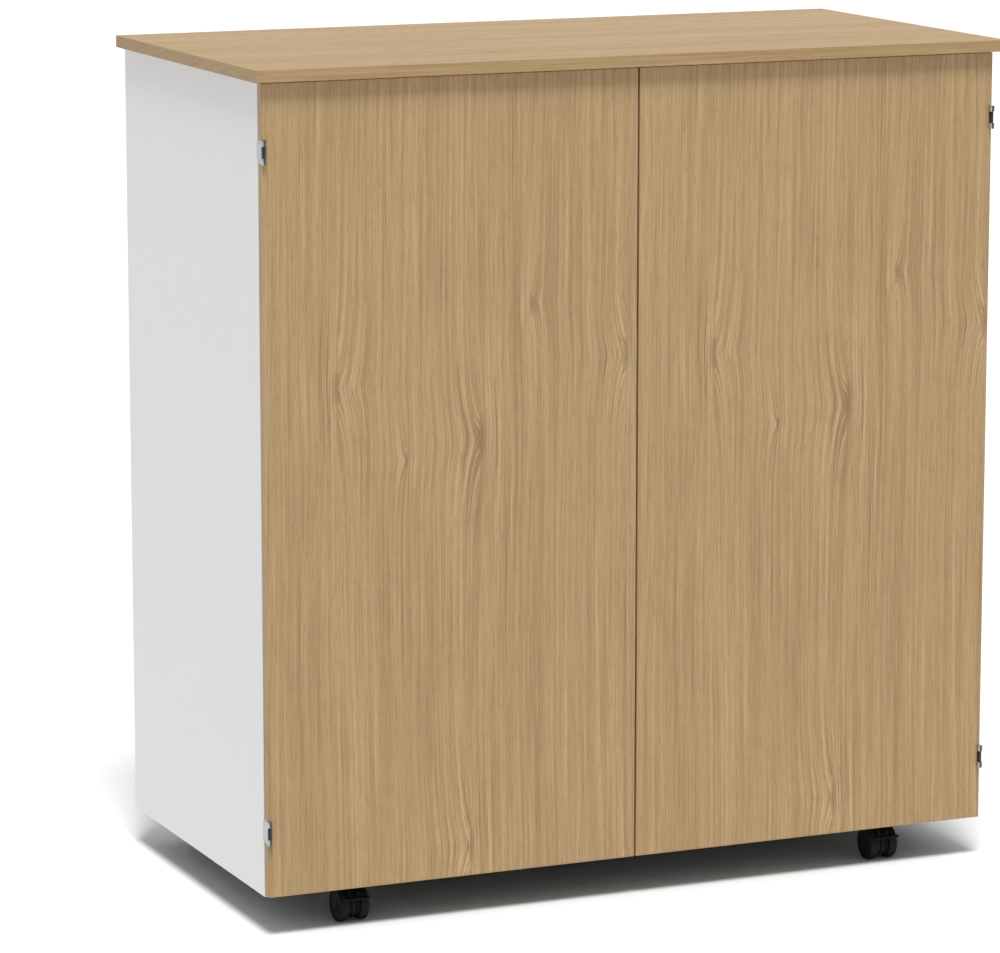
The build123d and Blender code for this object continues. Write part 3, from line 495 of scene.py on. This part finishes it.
def oak_material(name, node, turned=False, shift=(0.0, 0.0), knots=()):
    """Oak-effect laminate; turned boards have their grain along X instead of Z."""
    boards = bpy.context.scene.cupboard_boards
    low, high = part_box(node)
    material, w, shader, spot = start_material(name)
    x, y, z = w.split(spot)
    if turned:
        # The faces take X as the grain's way, and the bands on the ends take Y, a little slanted
        face = w.vector(w.math("SUBTRACT", y, low.y), z, w.math("SUBTRACT", x, low.x))
        slanted = w.math("MULTIPLY_ADD", y, 0.24, w.math("SUBTRACT", z, low.z))
        end = w.vector(slanted, x, y)
        normal = w.split(w.add("ShaderNodeNewGeometry").outputs["Normal"])
        sideways = w.remap(w.math("ABSOLUTE", normal[0]), 0.6, 0.8)
        upright = w.remap(w.math("ABSOLUTE", normal[2]), 0.4, 0.2)
        place = w.mix_vector(sideways, face, end)
    else:
        place = w.vector(
            w.math("SUBTRACT", x, low.x + shift[0]), y, w.math("SUBTRACT", z, shift[1])
        )
    sums = {"Shift": 0.0, "Core": 0.0, "Swirl": 0.0}
    for across, along, radius, reach, side in knots:
        out = w.group(
            knot_flow(), Vector=place, Across=across, Along=along, Radius=radius, Reach=reach,
            Side=side,
        )
        sums = {key: w.math("ADD", out[key], total) for key, total in sums.items()}
    grain = w.group(
        wood_grain(), Vector=place, **sums,
        Light=solid_colour(boards.oak_light), Dark=solid_colour(boards.oak_dark),
        Pore=solid_colour(boards.oak_pore),
    )
    edges = w.group(
        board_edges(), Vector=spot, Low=low, High=high, Width=boards.band_line
    )
    shade = w.mix(w.math("MULTIPLY", edges["Line"], 0.22), grain["Color"],
                  solid_colour(boards.oak_pore))
    # Painted highlight: the oak is lightened towards its light colour within the band line's width
    # of every edge
    shade = w.mix(w.math("MULTIPLY", edges["Highlight"], 0.25), shade,
                  solid_colour(boards.oak_light))
    if turned:
        # Painted shade: the board's upright faces are darkened towards the dark oak, its ends the
        # most
        narrow_face_shade = w.math("MULTIPLY_ADD", sideways, 0.22, w.math("MULTIPLY", upright, 0.20))
        shade = w.mix(narrow_face_shade, shade, solid_colour(boards.oak_dark))
    w.feed(shader.inputs["Base Color"], shade)
    w.feed(shader.inputs["Roughness"],
           w.math("ADD", grain["Roughness"], boards.oak_roughness - 0.06))
    shader.inputs["Specular IOR Level"].default_value = 0.42
    height = w.math("MULTIPLY_ADD", edges["Line"], -1.0, grain["Height"])
    bump(w, shader, height, 0.00006, 0.7)
    return material


BAND_GREY = (0.4, 0.4, 0.4, 1.0)  # of the line round a white board


def white_material(name, node, underside=None):
    """White laminate with a barely visible line where the edge bands meet the faces.

    A board with an underside colour has its underside painted in that dark colour, a painted shade
    that also darkens the floor shadow beneath the cupboard.
    """
    boards = bpy.context.scene.cupboard_boards
    low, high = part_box(node)
    material, w, shader, spot = start_material(name)
    grain = w.group(
        fine_grain(), Vector=spot, Color=solid_colour(boards.white),
        Roughness=boards.white_roughness, Scale=700.0, Drift=0.035, Speck=0.05,
    )
    edges = w.group(board_edges(), Vector=spot, Low=low, High=high, Width=boards.band_line)
    shade = w.mix(w.math("MULTIPLY", edges["Line"], 0.18), grain["Color"], BAND_GREY)
    # Painted shade: faces that point down take the dark underside colour
    if underside:
        upward = w.split(w.add("ShaderNodeNewGeometry").outputs["Normal"])[2]
        underside_shade = w.mix(1.0, grain["Color"], solid_colour(underside), "MULTIPLY")
        shade = w.mix(w.remap(upward, -0.8, -0.6, 1.0, 0.0), shade, underside_shade)
    w.feed(shader.inputs["Base Color"], shade)
    w.feed(shader.inputs["Roughness"], grain["Roughness"])
    shader.inputs["Specular IOR Level"].default_value = 0.4
    bump(w, shader, w.math("MULTIPLY_ADD", edges["Line"], -1.0, grain["Height"]), 0.00004, 0.6)
    return material


def grained_material(name, rgb, roughness, metallic, scale, drift, speck, depth, specular=0.5,
                     stretch=None):
    """Plated metal or moulded plastic.

    scale is the grain's features per metre, drift and speck how much the tone changes over the
    surface and from grain to grain, depth the grain's height in metres, and stretch draws the
    grain out along one axis.
    """
    material, w, shader, spot = start_material(name)
    if stretch:
        spot = w.add("ShaderNodeMapping", inputs={"Vector": spot, "Scale": stretch}).outputs[0]
    grain = w.group(
        fine_grain(), Vector=spot, Color=solid_colour(rgb), Roughness=roughness, Scale=scale,
        Drift=drift, Speck=speck,
    )
    w.feed(shader.inputs["Base Color"], grain["Color"])
    w.feed(shader.inputs["Roughness"], grain["Roughness"])
    shader.inputs["Metallic"].default_value = metallic
    shader.inputs["Specular IOR Level"].default_value = specular
    bump(w, shader, grain["Height"], depth, 0.5)
    return material


def beech_material():
    """Beech of the dowels, with the same grain as the oak but no knots."""
    metals = bpy.context.scene.cupboard_metals
    material, w, shader, spot = start_material("beech")
    grain = w.group(
        wood_grain(), Vector=spot, Shift=0.0, Core=0.0, Swirl=0.0,
        Light=solid_colour(metals.beech_light), Dark=solid_colour(metals.beech_dark),
        Pore=solid_colour(metals.beech_dark),
    )
    w.feed(shader.inputs["Base Color"], grain["Color"])
    w.feed(shader.inputs["Roughness"], w.math("ADD", grain["Roughness"], 0.55))
    bump(w, shader, grain["Height"], 0.00008, 0.6)
    return material


def finish(key):
    """The shared finish of that name, made once."""
    metals = bpy.context.scene.cupboard_metals
    recipes = {
        "nickel": lambda: grained_material(
            "nickel", metals.nickel, 0.34, 1.0, 600.0, 0.1, 0.06, 0.000012, stretch=(1, 1, 6)),
        # Painted reflection on the front of the hinge eyes
        "nickel_dark_reflection": lambda: grained_material(
            "nickel_dark_reflection", metals.nickel_dark_reflection, 0.3, 1.0, 600.0, 0.2, 0.1, 0.000012),
        "black_steel": lambda: grained_material(
            "black_steel", metals.black, 0.5, 0.0, 1200.0, 0.2, 0.2, 0.00002, 0.12),
        "zinc": lambda: grained_material(
            "zinc", metals.zinc, 0.34, 1.0, 500.0, 0.12, 0.1, 0.000015),
        "cast_zinc": lambda: grained_material(
            "cast_zinc", metals.cast, 0.5, 1.0, 1500.0, 0.15, 0.2, 0.00005),
        "castor_nylon": lambda: grained_material(
            "castor_nylon", metals.castor, 0.55, 0.0, 1700.0, 0.25, 0.25, 0.00004, 0.12),
        "wheel_nylon": lambda: grained_material(
            "wheel_nylon", metals.tread, 0.6, 0.0, 1300.0, 0.3, 0.3, 0.00003, 0.12),
        "grey_plastic": lambda: grained_material(
            "grey_plastic", metals.grey, 0.45, 0.0, 1400.0, 0.08, 0.1, 0.00004),
        "pale_plastic": lambda: grained_material(
            "pale_plastic", metals.pale, 0.35, 0.0, 1400.0, 0.05, 0.05, 0.00003),
        "beech": beech_material,
    }
    return bpy.data.materials.get(key) or recipes[key]()


def dress(node, material):
    """Gives a CAD node its finish."""
    slots = NODES[node].material_slots
    if not slots:
        NODES[node].data.materials.append(material)
    for slot in slots:
        slot.material = material


# ---------------------------------------------------------------- mesh helpers
def smooth(mesh, angle=35.0):
    """Smooth shading, with edges over that angle kept crisp."""
    mesh.shade_smooth()
    mesh.set_sharp_from_angle(angle=math.radians(angle))


def place_piece(name, mesh, materials, node):
    """Puts a finished mesh in the scene in place of its CAD node, on the same body."""
    for material in materials:
        mesh.materials.append(material)
    piece = bpy.data.objects.new(name, mesh)
    bpy.context.scene.collection.objects.link(piece)
    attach(piece, BODY_OF[node])
    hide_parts(node)


def welded(node):
    """A bmesh of a CAD node with its loose triangles joined."""
    shape = bmesh.new()
    shape.from_mesh(NODES[node].data)
    bmesh.ops.remove_doubles(shape, verts=shape.verts, dist=WELD)
    return shape


def merged_copy(node):
    """A welded bmesh of a CAD node with its flat faces whole."""
    shape = welded(node)
    bmesh.ops.dissolve_limit(
        shape, angle_limit=math.radians(1.0), verts=shape.verts, edges=shape.edges
    )
    return shape


def islands(node):
    """Corner points of each separate solid in a CAD node."""
    shape = welded(node)
    seen, found = set(), []
    for vertex in shape.verts:
        if vertex in seen:
            continue
        seen.add(vertex)
        queue, points = [vertex], []
        while queue:
            here = queue.pop()
            points.append(here.co.copy())
            for edge in here.link_edges:
                other = edge.other_vert(here)
                if other not in seen:
                    seen.add(other)
                    queue.append(other)
        found.append(points)
    shape.free()
    return found


def evaluated_mesh(carrier, name):
    """The carrier's mesh with its modifiers applied; the carrier is then removed."""
    bpy.context.view_layer.update()
    graph = bpy.context.evaluated_depsgraph_get()
    mesh = bpy.data.meshes.new_from_object(carrier.evaluated_get(graph))
    mesh.name = name
    bpy.data.objects.remove(carrier)
    return mesh


def softened(node, width, segments=2):
    """A copy of a CAD node with its crisp edges rounded."""
    shape = merged_copy(node)
    mesh = bpy.data.meshes.new(node + "_soft")
    shape.to_mesh(mesh)
    shape.free()
    carrier = bpy.data.objects.new(node + "_carrier", mesh)
    bpy.context.scene.collection.objects.link(carrier)
    rounding = carrier.modifiers.new("rounding", "BEVEL")
    rounding.width = width
    rounding.segments = segments
    rounding.limit_method = "ANGLE"
    rounding.angle_limit = math.radians(40.0)
    rounding.use_clamp_overlap = True
    result = evaluated_mesh(carrier, node + "_mesh")
    result.materials.clear()
    return result


def lathe(profile, centre, outward, segments):
    """A closed solid of revolution about an axis along X.

    profile lists (distance outwards, radius) once round the section, and points on the axis
    have radius 0. outward is 1 or -1, the way along X in which the distance grows.
    """
    shape = bmesh.new()
    rings = []
    for along, radius in profile:
        if radius == 0.0:
            rings.append([shape.verts.new(centre + Vector((outward * along, 0, 0)))])
            continue
        ring = []
        for step in range(segments):
            angle = 2 * math.pi * step / segments
            offset = Vector(
                (outward * along, radius * math.cos(angle), radius * math.sin(angle))
            )
            ring.append(shape.verts.new(centre + offset))
        rings.append(ring)
    for first, second in zip(rings, rings[1:] + rings[:1]):
        if len(first) == 1 and len(second) == 1:
            continue
        for step in range(segments):
            after = (step + 1) % segments
            if len(first) == 1:
                corners = (first[0], second[after], second[step])
            elif len(second) == 1:
                corners = (first[step], first[after], second[0])
            else:
                corners = (first[step], first[after], second[after], second[step])
            shape.faces.new(corners)
    bmesh.ops.recalc_face_normals(shape, faces=shape.faces)
    mesh = bpy.data.meshes.new("lathe")
    shape.to_mesh(mesh)
    shape.free()
    smooth(mesh, 30.0)
    return mesh


def rounded(corner_a, corner_b, steps, bulge_first):
    """Points of a quarter arc between two corners of a profile, ends included."""
    points = []
    for step in range(steps + 1):
        angle = math.pi / 2 * step / steps
        share_a, share_b = math.sin(angle), 1 - math.cos(angle)
        if not bulge_first:
            share_a, share_b = share_b, share_a
        points.append(
            (
                corner_a[0] + (corner_b[0] - corner_a[0]) * share_a,
                corner_a[1] + (corner_b[1] - corner_a[1]) * share_b,
            )
        )
    return points


# ---------------------------------------------------------------- geometry nodes
def geometry_tree(name, inputs, build):
    """A Geometry Nodes tree with named inputs; build returns the geometry that it makes."""
    tree = bpy.data.node_groups.get(name)
    if tree:
        return tree
    tree = bpy.data.node_groups.new(name, "GeometryNodeTree")
    tree.interface.new_socket(name="Geometry", in_out="INPUT", socket_type="NodeSocketGeometry")
    for key, kind in inputs.items():
        tree.interface.new_socket(name=key, in_out="INPUT", socket_type=kind)
    tree.interface.new_socket(name="Geometry", in_out="OUTPUT", socket_type="NodeSocketGeometry")
    wiring = Wiring(tree)
    source = tree.nodes.new("NodeGroupInput")
    sink = tree.nodes.new("NodeGroupOutput")
    instances = build(wiring, source.outputs)
    real = wiring.add("GeometryNodeRealizeInstances", inputs={0: instances}).outputs[0]
    painted = wiring.add(
        "GeometryNodeSetMaterial", inputs={"Geometry": real, "Material": source.outputs["Material"]}
    )
    wiring.feed(sink.inputs["Geometry"], painted.outputs[0])
    return tree


def grown_mesh(name, tree, points, ways, values):
    """Runs a tree on points that carry the way out of the surface, and returns its plain mesh."""
    seeds = bpy.data.meshes.new(name + "_seeds")
    seeds.from_pydata([tuple(point) for point in points], [], [])
    out = seeds.attributes.new("out", "FLOAT_VECTOR", "POINT")
    out.data.foreach_set("vector", [part for way in ways for part in way])
    carrier = bpy.data.objects.new(name + "_carrier", seeds)
    bpy.context.scene.collection.objects.link(carrier)
    modifier = carrier.modifiers.new(name, "NODES")
    modifier.node_group = tree
    for item in tree.interface.items_tree:
        if item.in_out == "INPUT" and item.name in values:
            modifier[item.identifier] = values[item.name]
    return evaluated_mesh(carrier, name)


def screw_tree():
    """Countersunk screws with cross recesses, one on each point."""

    def build(w, given):
        depth = w.math("SUBTRACT", given["Head Radius"], given["Shank Radius"])
        tip = w.math("MULTIPLY", given["Shank Radius"], 2.0)
        straight = w.math("SUBTRACT", w.math("SUBTRACT", given["Length"], tip), depth)
        below = w.math("MULTIPLY", w.math("ADD", straight, depth), -1.0)
        point_z = w.math("MULTIPLY", given["Length"], -1.0)

        def cone(top, bottom, height, low_z, sides):
            node = w.add("GeometryNodeMeshCone", fill_type="NGON", inputs={
                "Vertices": sides, "Radius Top": top, "Radius Bottom": bottom, "Depth": height})
            moved = w.add("GeometryNodeTransform", inputs={
                "Geometry": node.outputs["Mesh"], "Translation": w.vector(0.0, 0.0, low_z)})
            return moved.outputs[0]

        head = cone(given["Head Radius"], given["Shank Radius"], depth,
                    w.math("MULTIPLY", depth, -1.0), 32)
        deep = w.math("MULTIPLY", given["Recess Depth"], 2.0)
        arms = []
        for sizes in ((given["Recess Length"], given["Recess Width"]),
                      (given["Recess Width"], given["Recess Length"])):
            arms.append(w.add("GeometryNodeMeshCube", inputs={
                "Size": w.vector(*sizes, deep)}).outputs["Mesh"])
        cut = w.add("GeometryNodeMeshBoolean", operation="DIFFERENCE")
        w.feed(cut.inputs["Mesh 1"], head)
        for arm in arms:
            w.feed(cut.inputs["Mesh 2"], arm)
        shank = cone(given["Shank Radius"], given["Shank Radius"], straight, below, 16)
        end = cone(given["Shank Radius"], 0.0, tip, point_z, 16)
        joined = w.add("GeometryNodeJoinGeometry")
        for piece in (cut.outputs["Mesh"], shank, end):
            w.feed(joined.inputs[0], piece)
        way = w.add("GeometryNodeInputNamedAttribute", data_type="FLOAT_VECTOR",
                    inputs={"Name": "out"}).outputs["Attribute"]
        turned = w.add("FunctionNodeAlignRotationToVector", axis="Z", inputs={"Vector": way})
        return w.add("GeometryNodeInstanceOnPoints", inputs={
            "Points": given["Geometry"], "Instance": joined.outputs[0],
            "Rotation": turned.outputs[0]}).outputs[0]

    names = ("Head Radius", "Shank Radius", "Length", "Recess Width", "Recess Length",
             "Recess Depth")
    inputs = {name: "NodeSocketFloat" for name in names}
    inputs["Material"] = "NodeSocketMaterial"
    return geometry_tree("countersunk_screws", inputs, build)


def screw_seats(node):
    """Head centre, way out and length of each screw in a CAD node."""
    heads, ways = [], []
    length = 0.0
    for points in islands(node):
        low = Vector([min(p[i] for p in points) for i in range(3)])
        high = Vector([max(p[i] for p in points) for i in range(3)])
        span = high - low
        axis = max(range(3), key=lambda i: span[i])
        length = span[axis]
        middle = (low + high) / 2
        spread = {}
        for sign, end in ((-1, low[axis]), (1, high[axis])):
            near = [p for p in points if abs(p[axis] - end) < span[axis] * 0.02]
            spread[sign] = max(
                math.dist([p[i] for i in range(3) if i != axis],
                          [middle[i] for i in range(3) if i != axis]) for p in near
            )
        sign = 1 if spread[1] > spread[-1] else -1
        head = middle.copy()
        head[axis] = high[axis] if sign > 0 else low[axis]
        way = Vector((0, 0, 0))
        way[axis] = sign
        heads.append(head)
        ways.append(way)
    return heads, ways, length


# ---------------------------------------------------------------- operators
class CUPBOARD_OT_oak_boards(bpy.types.Operator):
    """Oak finish on the top board and both doors"""

    bl_idname = "cupboard.oak_boards"
    bl_label = "Oak boards"

    def execute(self, context):
        boards = context.scene.cupboard_boards
        dress("top_board", oak_material("oak_top", "top_board", turned=True, knots=TOP_KNOTS))
        dress("left_door", oak_material("oak_left_door", "left_door", knots=DOOR_KNOTS))
        shift = (boards.print_shift_x, boards.print_shift_z)
        dress("right_door",
              oak_material("oak_right_door", "right_door", shift=shift, knots=DOOR_KNOTS))
        return {"FINISHED"}


class CUPBOARD_OT_white_boards(bpy.types.Operator):
    """White finish on the carcass and the shelves"""

    bl_idname = "cupboard.white_boards"
    bl_label = "White boards"

    def execute(self, context):
        boards = ["left_side_panel", "right_side_panel", "bottom_panel", "back_panel",
                  "centre_partition"]
        boards += [f"{side}_{level}_shelf" for side in SIDES for level in LEVELS]
        for node in boards:
            # Only the bottom panel gets the painted shade underside
            underside = context.scene.cupboard_boards.underside_shade if node == "bottom_panel" else None
            dress(node, white_material("white_" + node, node, underside))
        return {"FINISHED"}


class CUPBOARD_OT_joint_fittings(bpy.types.Operator):
    """Finishes of the dowels, cam bolts, cam discs and hinge pins"""

    bl_idname = "cupboard.joint_fittings"
    bl_label = "Joint fittings"

    def execute(self, context):
        for node, key in (("carcass_dowels", "beech"), ("cam_bolts", "zinc"),
                          ("cam_discs", "cast_zinc"), ("hinge_pins", "zinc")):
            dress(node, finish(key))
        return {"FINISHED"}


class CUPBOARD_OT_hinges(bpy.types.Operator):
    """Hinge wings with a painted dark reflection on the front of their round eyes, and black hinge
    leaves
    """

    bl_idname = "cupboard.hinges"
    bl_label = "Hinges"

    def execute(self, context):
        width = context.scene.cupboard_softening.metal
        for side in SIDES:
            for level in LEVELS:
                wing = f"{side}_{level}_hinge_wing"
                low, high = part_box(wing)
                mesh = softened(wing, width)
                smooth(mesh)
                finishes = [finish("nickel"), finish("nickel_dark_reflection")]
                place_piece(wing + "_plated", mesh, finishes, wing)
                # Painted reflection: the eyes' round faces towards the front take a dark finish,
                # standing in for the dark surroundings that plated eyes mirror
                pin_y = low.y + EYE_RADIUS
                for face in mesh.polygons:
                    upright = abs(face.normal.z) < 0.1
                    if face.center.y < pin_y - EYE_RADIUS / 2 and upright and face.normal.y < -0.88:
                        face.material_index = 1
                leaf = f"{side}_{level}_hinge_leaf"
                mesh = softened(leaf, width)
                smooth(mesh)
                place_piece(leaf + "_black", mesh, [finish("black_steel")], leaf)
        return {"FINISHED"}


class CUPBOARD_OT_latches(bpy.types.Operator):
    """Push latches with rounded edges, and their strike plates"""

    bl_idname = "cupboard.latches"
    bl_label = "Latches"

    def execute(self, context):
        soft = context.scene.cupboard_softening
        for side in SIDES:
            for part, key, width in (("latch_housing", "grey_plastic", soft.moulded),
                                     ("latch_plunger", "pale_plastic", soft.moulded),
                                     ("strike_plate", "zinc", soft.metal)):
                node = f"{side}_{part}"
                mesh = softened(node, width)
                smooth(mesh)
                place_piece(node + "_rounded", mesh, [finish(key)], node)
        return {"FINISHED"}


class CUPBOARD_OT_shelf_pins(bpy.types.Operator):
    """Steel shelf pins with rounded pads"""

    bl_idname = "cupboard.shelf_pins"
    bl_label = "Shelf pins"

    def execute(self, context):
        mesh = softened("shelf_pins", context.scene.cupboard_softening.metal)
        smooth(mesh)
        place_piece("shelf_pins_rounded", mesh, [finish("zinc")], "shelf_pins")
        return {"FINISHED"}


class CUPBOARD_OT_screws(bpy.types.Operator):
    """Countersunk screws with cross recesses"""

    bl_idname = "cupboard.screws"
    bl_label = "Screws"

    def execute(self, context):
        sizes = context.scene.cupboard_screws
        for node in ("back_panel_screws", "hinge_wing_screws", "latch_screws",
                     "castor_plate_screws", "left_door_screws", "right_door_screws"):
            heads, ways, length = screw_seats(node)
            values = {
                "Head Radius": sizes.head, "Shank Radius": sizes.shank, "Length": length,
                "Recess Width": sizes.recess, "Recess Length": sizes.recess_length,
                "Recess Depth": sizes.recess_depth, "Material": finish("zinc"),
            }
            mesh = grown_mesh(node + "_crossed", screw_tree(), heads, ways, values)
            mesh.materials.clear()
            smooth(mesh, 40.0)
            place_piece(node + "_crossed", mesh, [finish("zinc")], node)
        return {"FINISHED"}


class CUPBOARD_OT_wheels(bpy.types.Operator):
    """Twin wheels of the castors, with dished faces and hub caps"""

    bl_idname = "cupboard.wheels"
    bl_label = "Wheels"

    def execute(self, context):
        sizes = context.scene.cupboard_wheels
        for castor in CASTORS:
            axle_low, axle_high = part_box(f"{castor}_castor_axle")
            axle = (axle_low + axle_high) / 2
            for hand, outward in (("left", -1), ("right", 1)):
                node = f"{castor}_{hand}_wheel"
                low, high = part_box(node)
                width = high.x - low.x
                radius = (high.z - low.z) / 2
                inner_x = low.x if outward > 0 else high.x
                centre = Vector((inner_x, axle.y, axle.z))
                mesh = lathe(
                    self.profile(sizes, width, radius, abs(axle_high.x - axle.x)
                                 - abs(inner_x - axle.x)),
                    centre, outward, sizes.segments,
                )
                place_piece(node + "_turned", mesh, [finish("wheel_nylon")], node)
        return {"FINISHED"}

    def profile(self, sizes, width, radius, axle_end):
        """Section of a wheel, from its bore round the tread and back through the closed cap."""
        rim, edge = radius - sizes.rim, sizes.edge
        face = width - sizes.dish
        cap_inside = axle_end + 0.4 * MM
        boss, hollow = sizes.boss, sizes.hollow
        points = [(0.0, sizes.bore), (0.0, boss), (0.5 * MM, boss + 0.5 * MM),
                  (hollow, boss + 1.3 * MM), (hollow, rim - 1.6 * MM), (0.6 * MM, rim - 0.2 * MM),
                  (0.0, rim + 0.4 * MM)]
        points += rounded((0.0, radius - edge), (edge, radius), 5, False)
        middle, groove = width / 2, sizes.groove
        points += [(middle - 2 * groove, radius), (middle - groove, radius - groove),
                   (middle + groove, radius - groove), (middle + 2 * groove, radius)]
        points += rounded((width - edge, radius), (width, radius - edge), 5, True)
        points += [(width, rim + 0.5 * MM), (width - 0.3 * MM, rim),
                   (face + 0.2 * MM, rim - 1.0 * MM), (face, rim - 1.8 * MM),
                   (face - 0.5 * MM, (rim + sizes.cap) / 2), (face, sizes.cap + 1.2 * MM),
                   (face + 0.3 * MM, sizes.cap + 0.5 * MM), (width - 0.5 * MM, sizes.cap),
                   (width - 0.1 * MM, sizes.cap - 0.7 * MM), (width, sizes.cap - 1.6 * MM),
                   (width, 0.0), (cap_inside, 0.0), (cap_inside, sizes.bore)]
        return points


class CUPBOARD_OT_castor_frames(bpy.types.Operator):
    """Hoods, pedals, axles and plates of the castors"""

    bl_idname = "cupboard.castor_frames"
    bl_label = "Castor frames"

    def execute(self, context):
        soft = context.scene.cupboard_softening
        for castor in CASTORS:
            dress(f"{castor}_castor_axle", finish("zinc"))
            parts = [("castor_hood", "castor_nylon", soft.moulded),
                     ("castor_plate", "zinc", soft.metal)]
            if castor.startswith("front"):
                parts.append(("brake_pedal", "castor_nylon", soft.moulded))
            for part, key, width in parts:
                node = f"{castor}_{part}"
                mesh = softened(node, width)
                smooth(mesh)
                place_piece(node + "_rounded", mesh, [finish(key)], node)
        return {"FINISHED"}


class CUPBOARD_OT_stage(bpy.types.Operator):
    """Pale floor, soft light and the camera"""

    bl_idname = "cupboard.stage"
    bl_label = "Stage"

    def execute(self, context):
        scene = context.scene
        stage = scene.cupboard_stage
        half = stage.floor_side / 2
        mesh = bpy.data.meshes.new("floor")
        mesh.from_pydata(
            [(-half, -half, 0), (half, -half, 0), (half, half, 0), (-half, half, 0)], [],
            [(0, 1, 2, 3)],
        )
        mesh.materials.append(
            grained_material("pale_floor", stage.floor, 0.8, 0.0, 30.0, 0.01, 0.01, 0.00001,
                             specular=0.1)
        )
        floor = bpy.data.objects.new("floor", mesh)
        scene.collection.objects.link(floor)

        world = bpy.data.worlds.new("soft_light")
        world.use_nodes = True
        w = Wiring(world.node_tree)
        sky = world.node_tree.nodes["Background"]
        white = solid_colour((1.0, 1.0, 1.0))
        sky.inputs["Color"].default_value = white
        way = w.split(w.add("ShaderNodeTexCoord").outputs["Generated"])
        strength = w.remap(way[2], 0.0, 1.0, stage.sky_low, stage.sky_low + stage.sky_rise)
        w.feed(sky.inputs["Strength"], strength)
        # The backdrop itself is as pale as the floor, and glosses mirror it a little dimmer
        path = w.add("ShaderNodeLightPath").outputs
        glow = w.math("MULTIPLY_ADD", path["Is Camera Ray"], 1.0 - stage.mirrored, stage.mirrored)
        backdrop = w.add("ShaderNodeBackground", inputs={
            "Color": white, "Strength": glow})
        seen = w.math("MAXIMUM", path["Is Camera Ray"], path["Is Glossy Ray"])
        mixed = w.add("ShaderNodeMixShader", inputs={
            0: seen, 1: sky.outputs[0], 2: backdrop.outputs[0]})
        w.feed(world.node_tree.nodes["World Output"].inputs["Surface"], mixed.outputs[0])
        scene.world = world

        light = bpy.data.lights.new("key", "SUN")
        light.energy = stage.key
        light.angle = math.radians(stage.key_spread)
        lamp = bpy.data.objects.new("key", light)
        lamp.rotation_euler = (math.radians(stage.key_tilt), math.radians(stage.key_side), 0.0)
        scene.collection.objects.link(lamp)

        camera_data = bpy.data.cameras.new("camera")
        camera_data.lens = stage.lens
        camera_data.sensor_width = 36.0
        camera_data.clip_end = 200.0
        camera = bpy.data.objects.new("camera", camera_data)
        camera.location = stage.place
        camera.rotation_euler = (
            math.radians(90.0 - stage.elevation), 0.0, math.radians(-stage.azimuth)
        )
        scene.collection.objects.link(camera)
        scene.camera = camera
        scene.view_settings.view_transform = "Standard"
        return {"FINISHED"}


OPERATORS = (
    CUPBOARD_OT_oak_boards,
    CUPBOARD_OT_white_boards,
    CUPBOARD_OT_joint_fittings,
    CUPBOARD_OT_hinges,
    CUPBOARD_OT_latches,
    CUPBOARD_OT_shelf_pins,
    CUPBOARD_OT_screws,
    CUPBOARD_OT_wheels,
    CUPBOARD_OT_castor_frames,
    CUPBOARD_OT_stage,
)


class CUPBOARD_PT_parts(bpy.types.Panel):
    """Lists the parts and their sizes"""

    bl_idname = "CUPBOARD_PT_parts"
    bl_label = "Cupboard"
    bl_space_type = "VIEW_3D"
    bl_region_type = "UI"
    bl_category = "Cupboard"

    def draw(self, context):
        for operator in OPERATORS:
            self.layout.operator(operator.bl_idname)
        for key in GROUPS:
            group = getattr(context.scene, key)
            for name in group.__annotations__:
                self.layout.prop(group, name)


CLASSES = (*GROUPS.values(), *OPERATORS, CUPBOARD_PT_parts)


def register():
    for item in CLASSES:
        bpy.utils.register_class(item)
    for key, group in GROUPS.items():
        setattr(bpy.types.Scene, key, PointerProperty(type=group))


def unregister():
    for key in GROUPS:
        delattr(bpy.types.Scene, key)
    for item in reversed(CLASSES):
        bpy.utils.unregister_class(item)


def corners(bounds):
    """The two corners of a box as plain lists of numbers."""
    return [[float(value) for value in corner] for corner in bounds]


def main():
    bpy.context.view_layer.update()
    register()
    for operator in OPERATORS:
        family, name = operator.bl_idname.split(".")
        getattr(getattr(bpy.ops, family), name)()


if __name__ == "__main__":
    main()
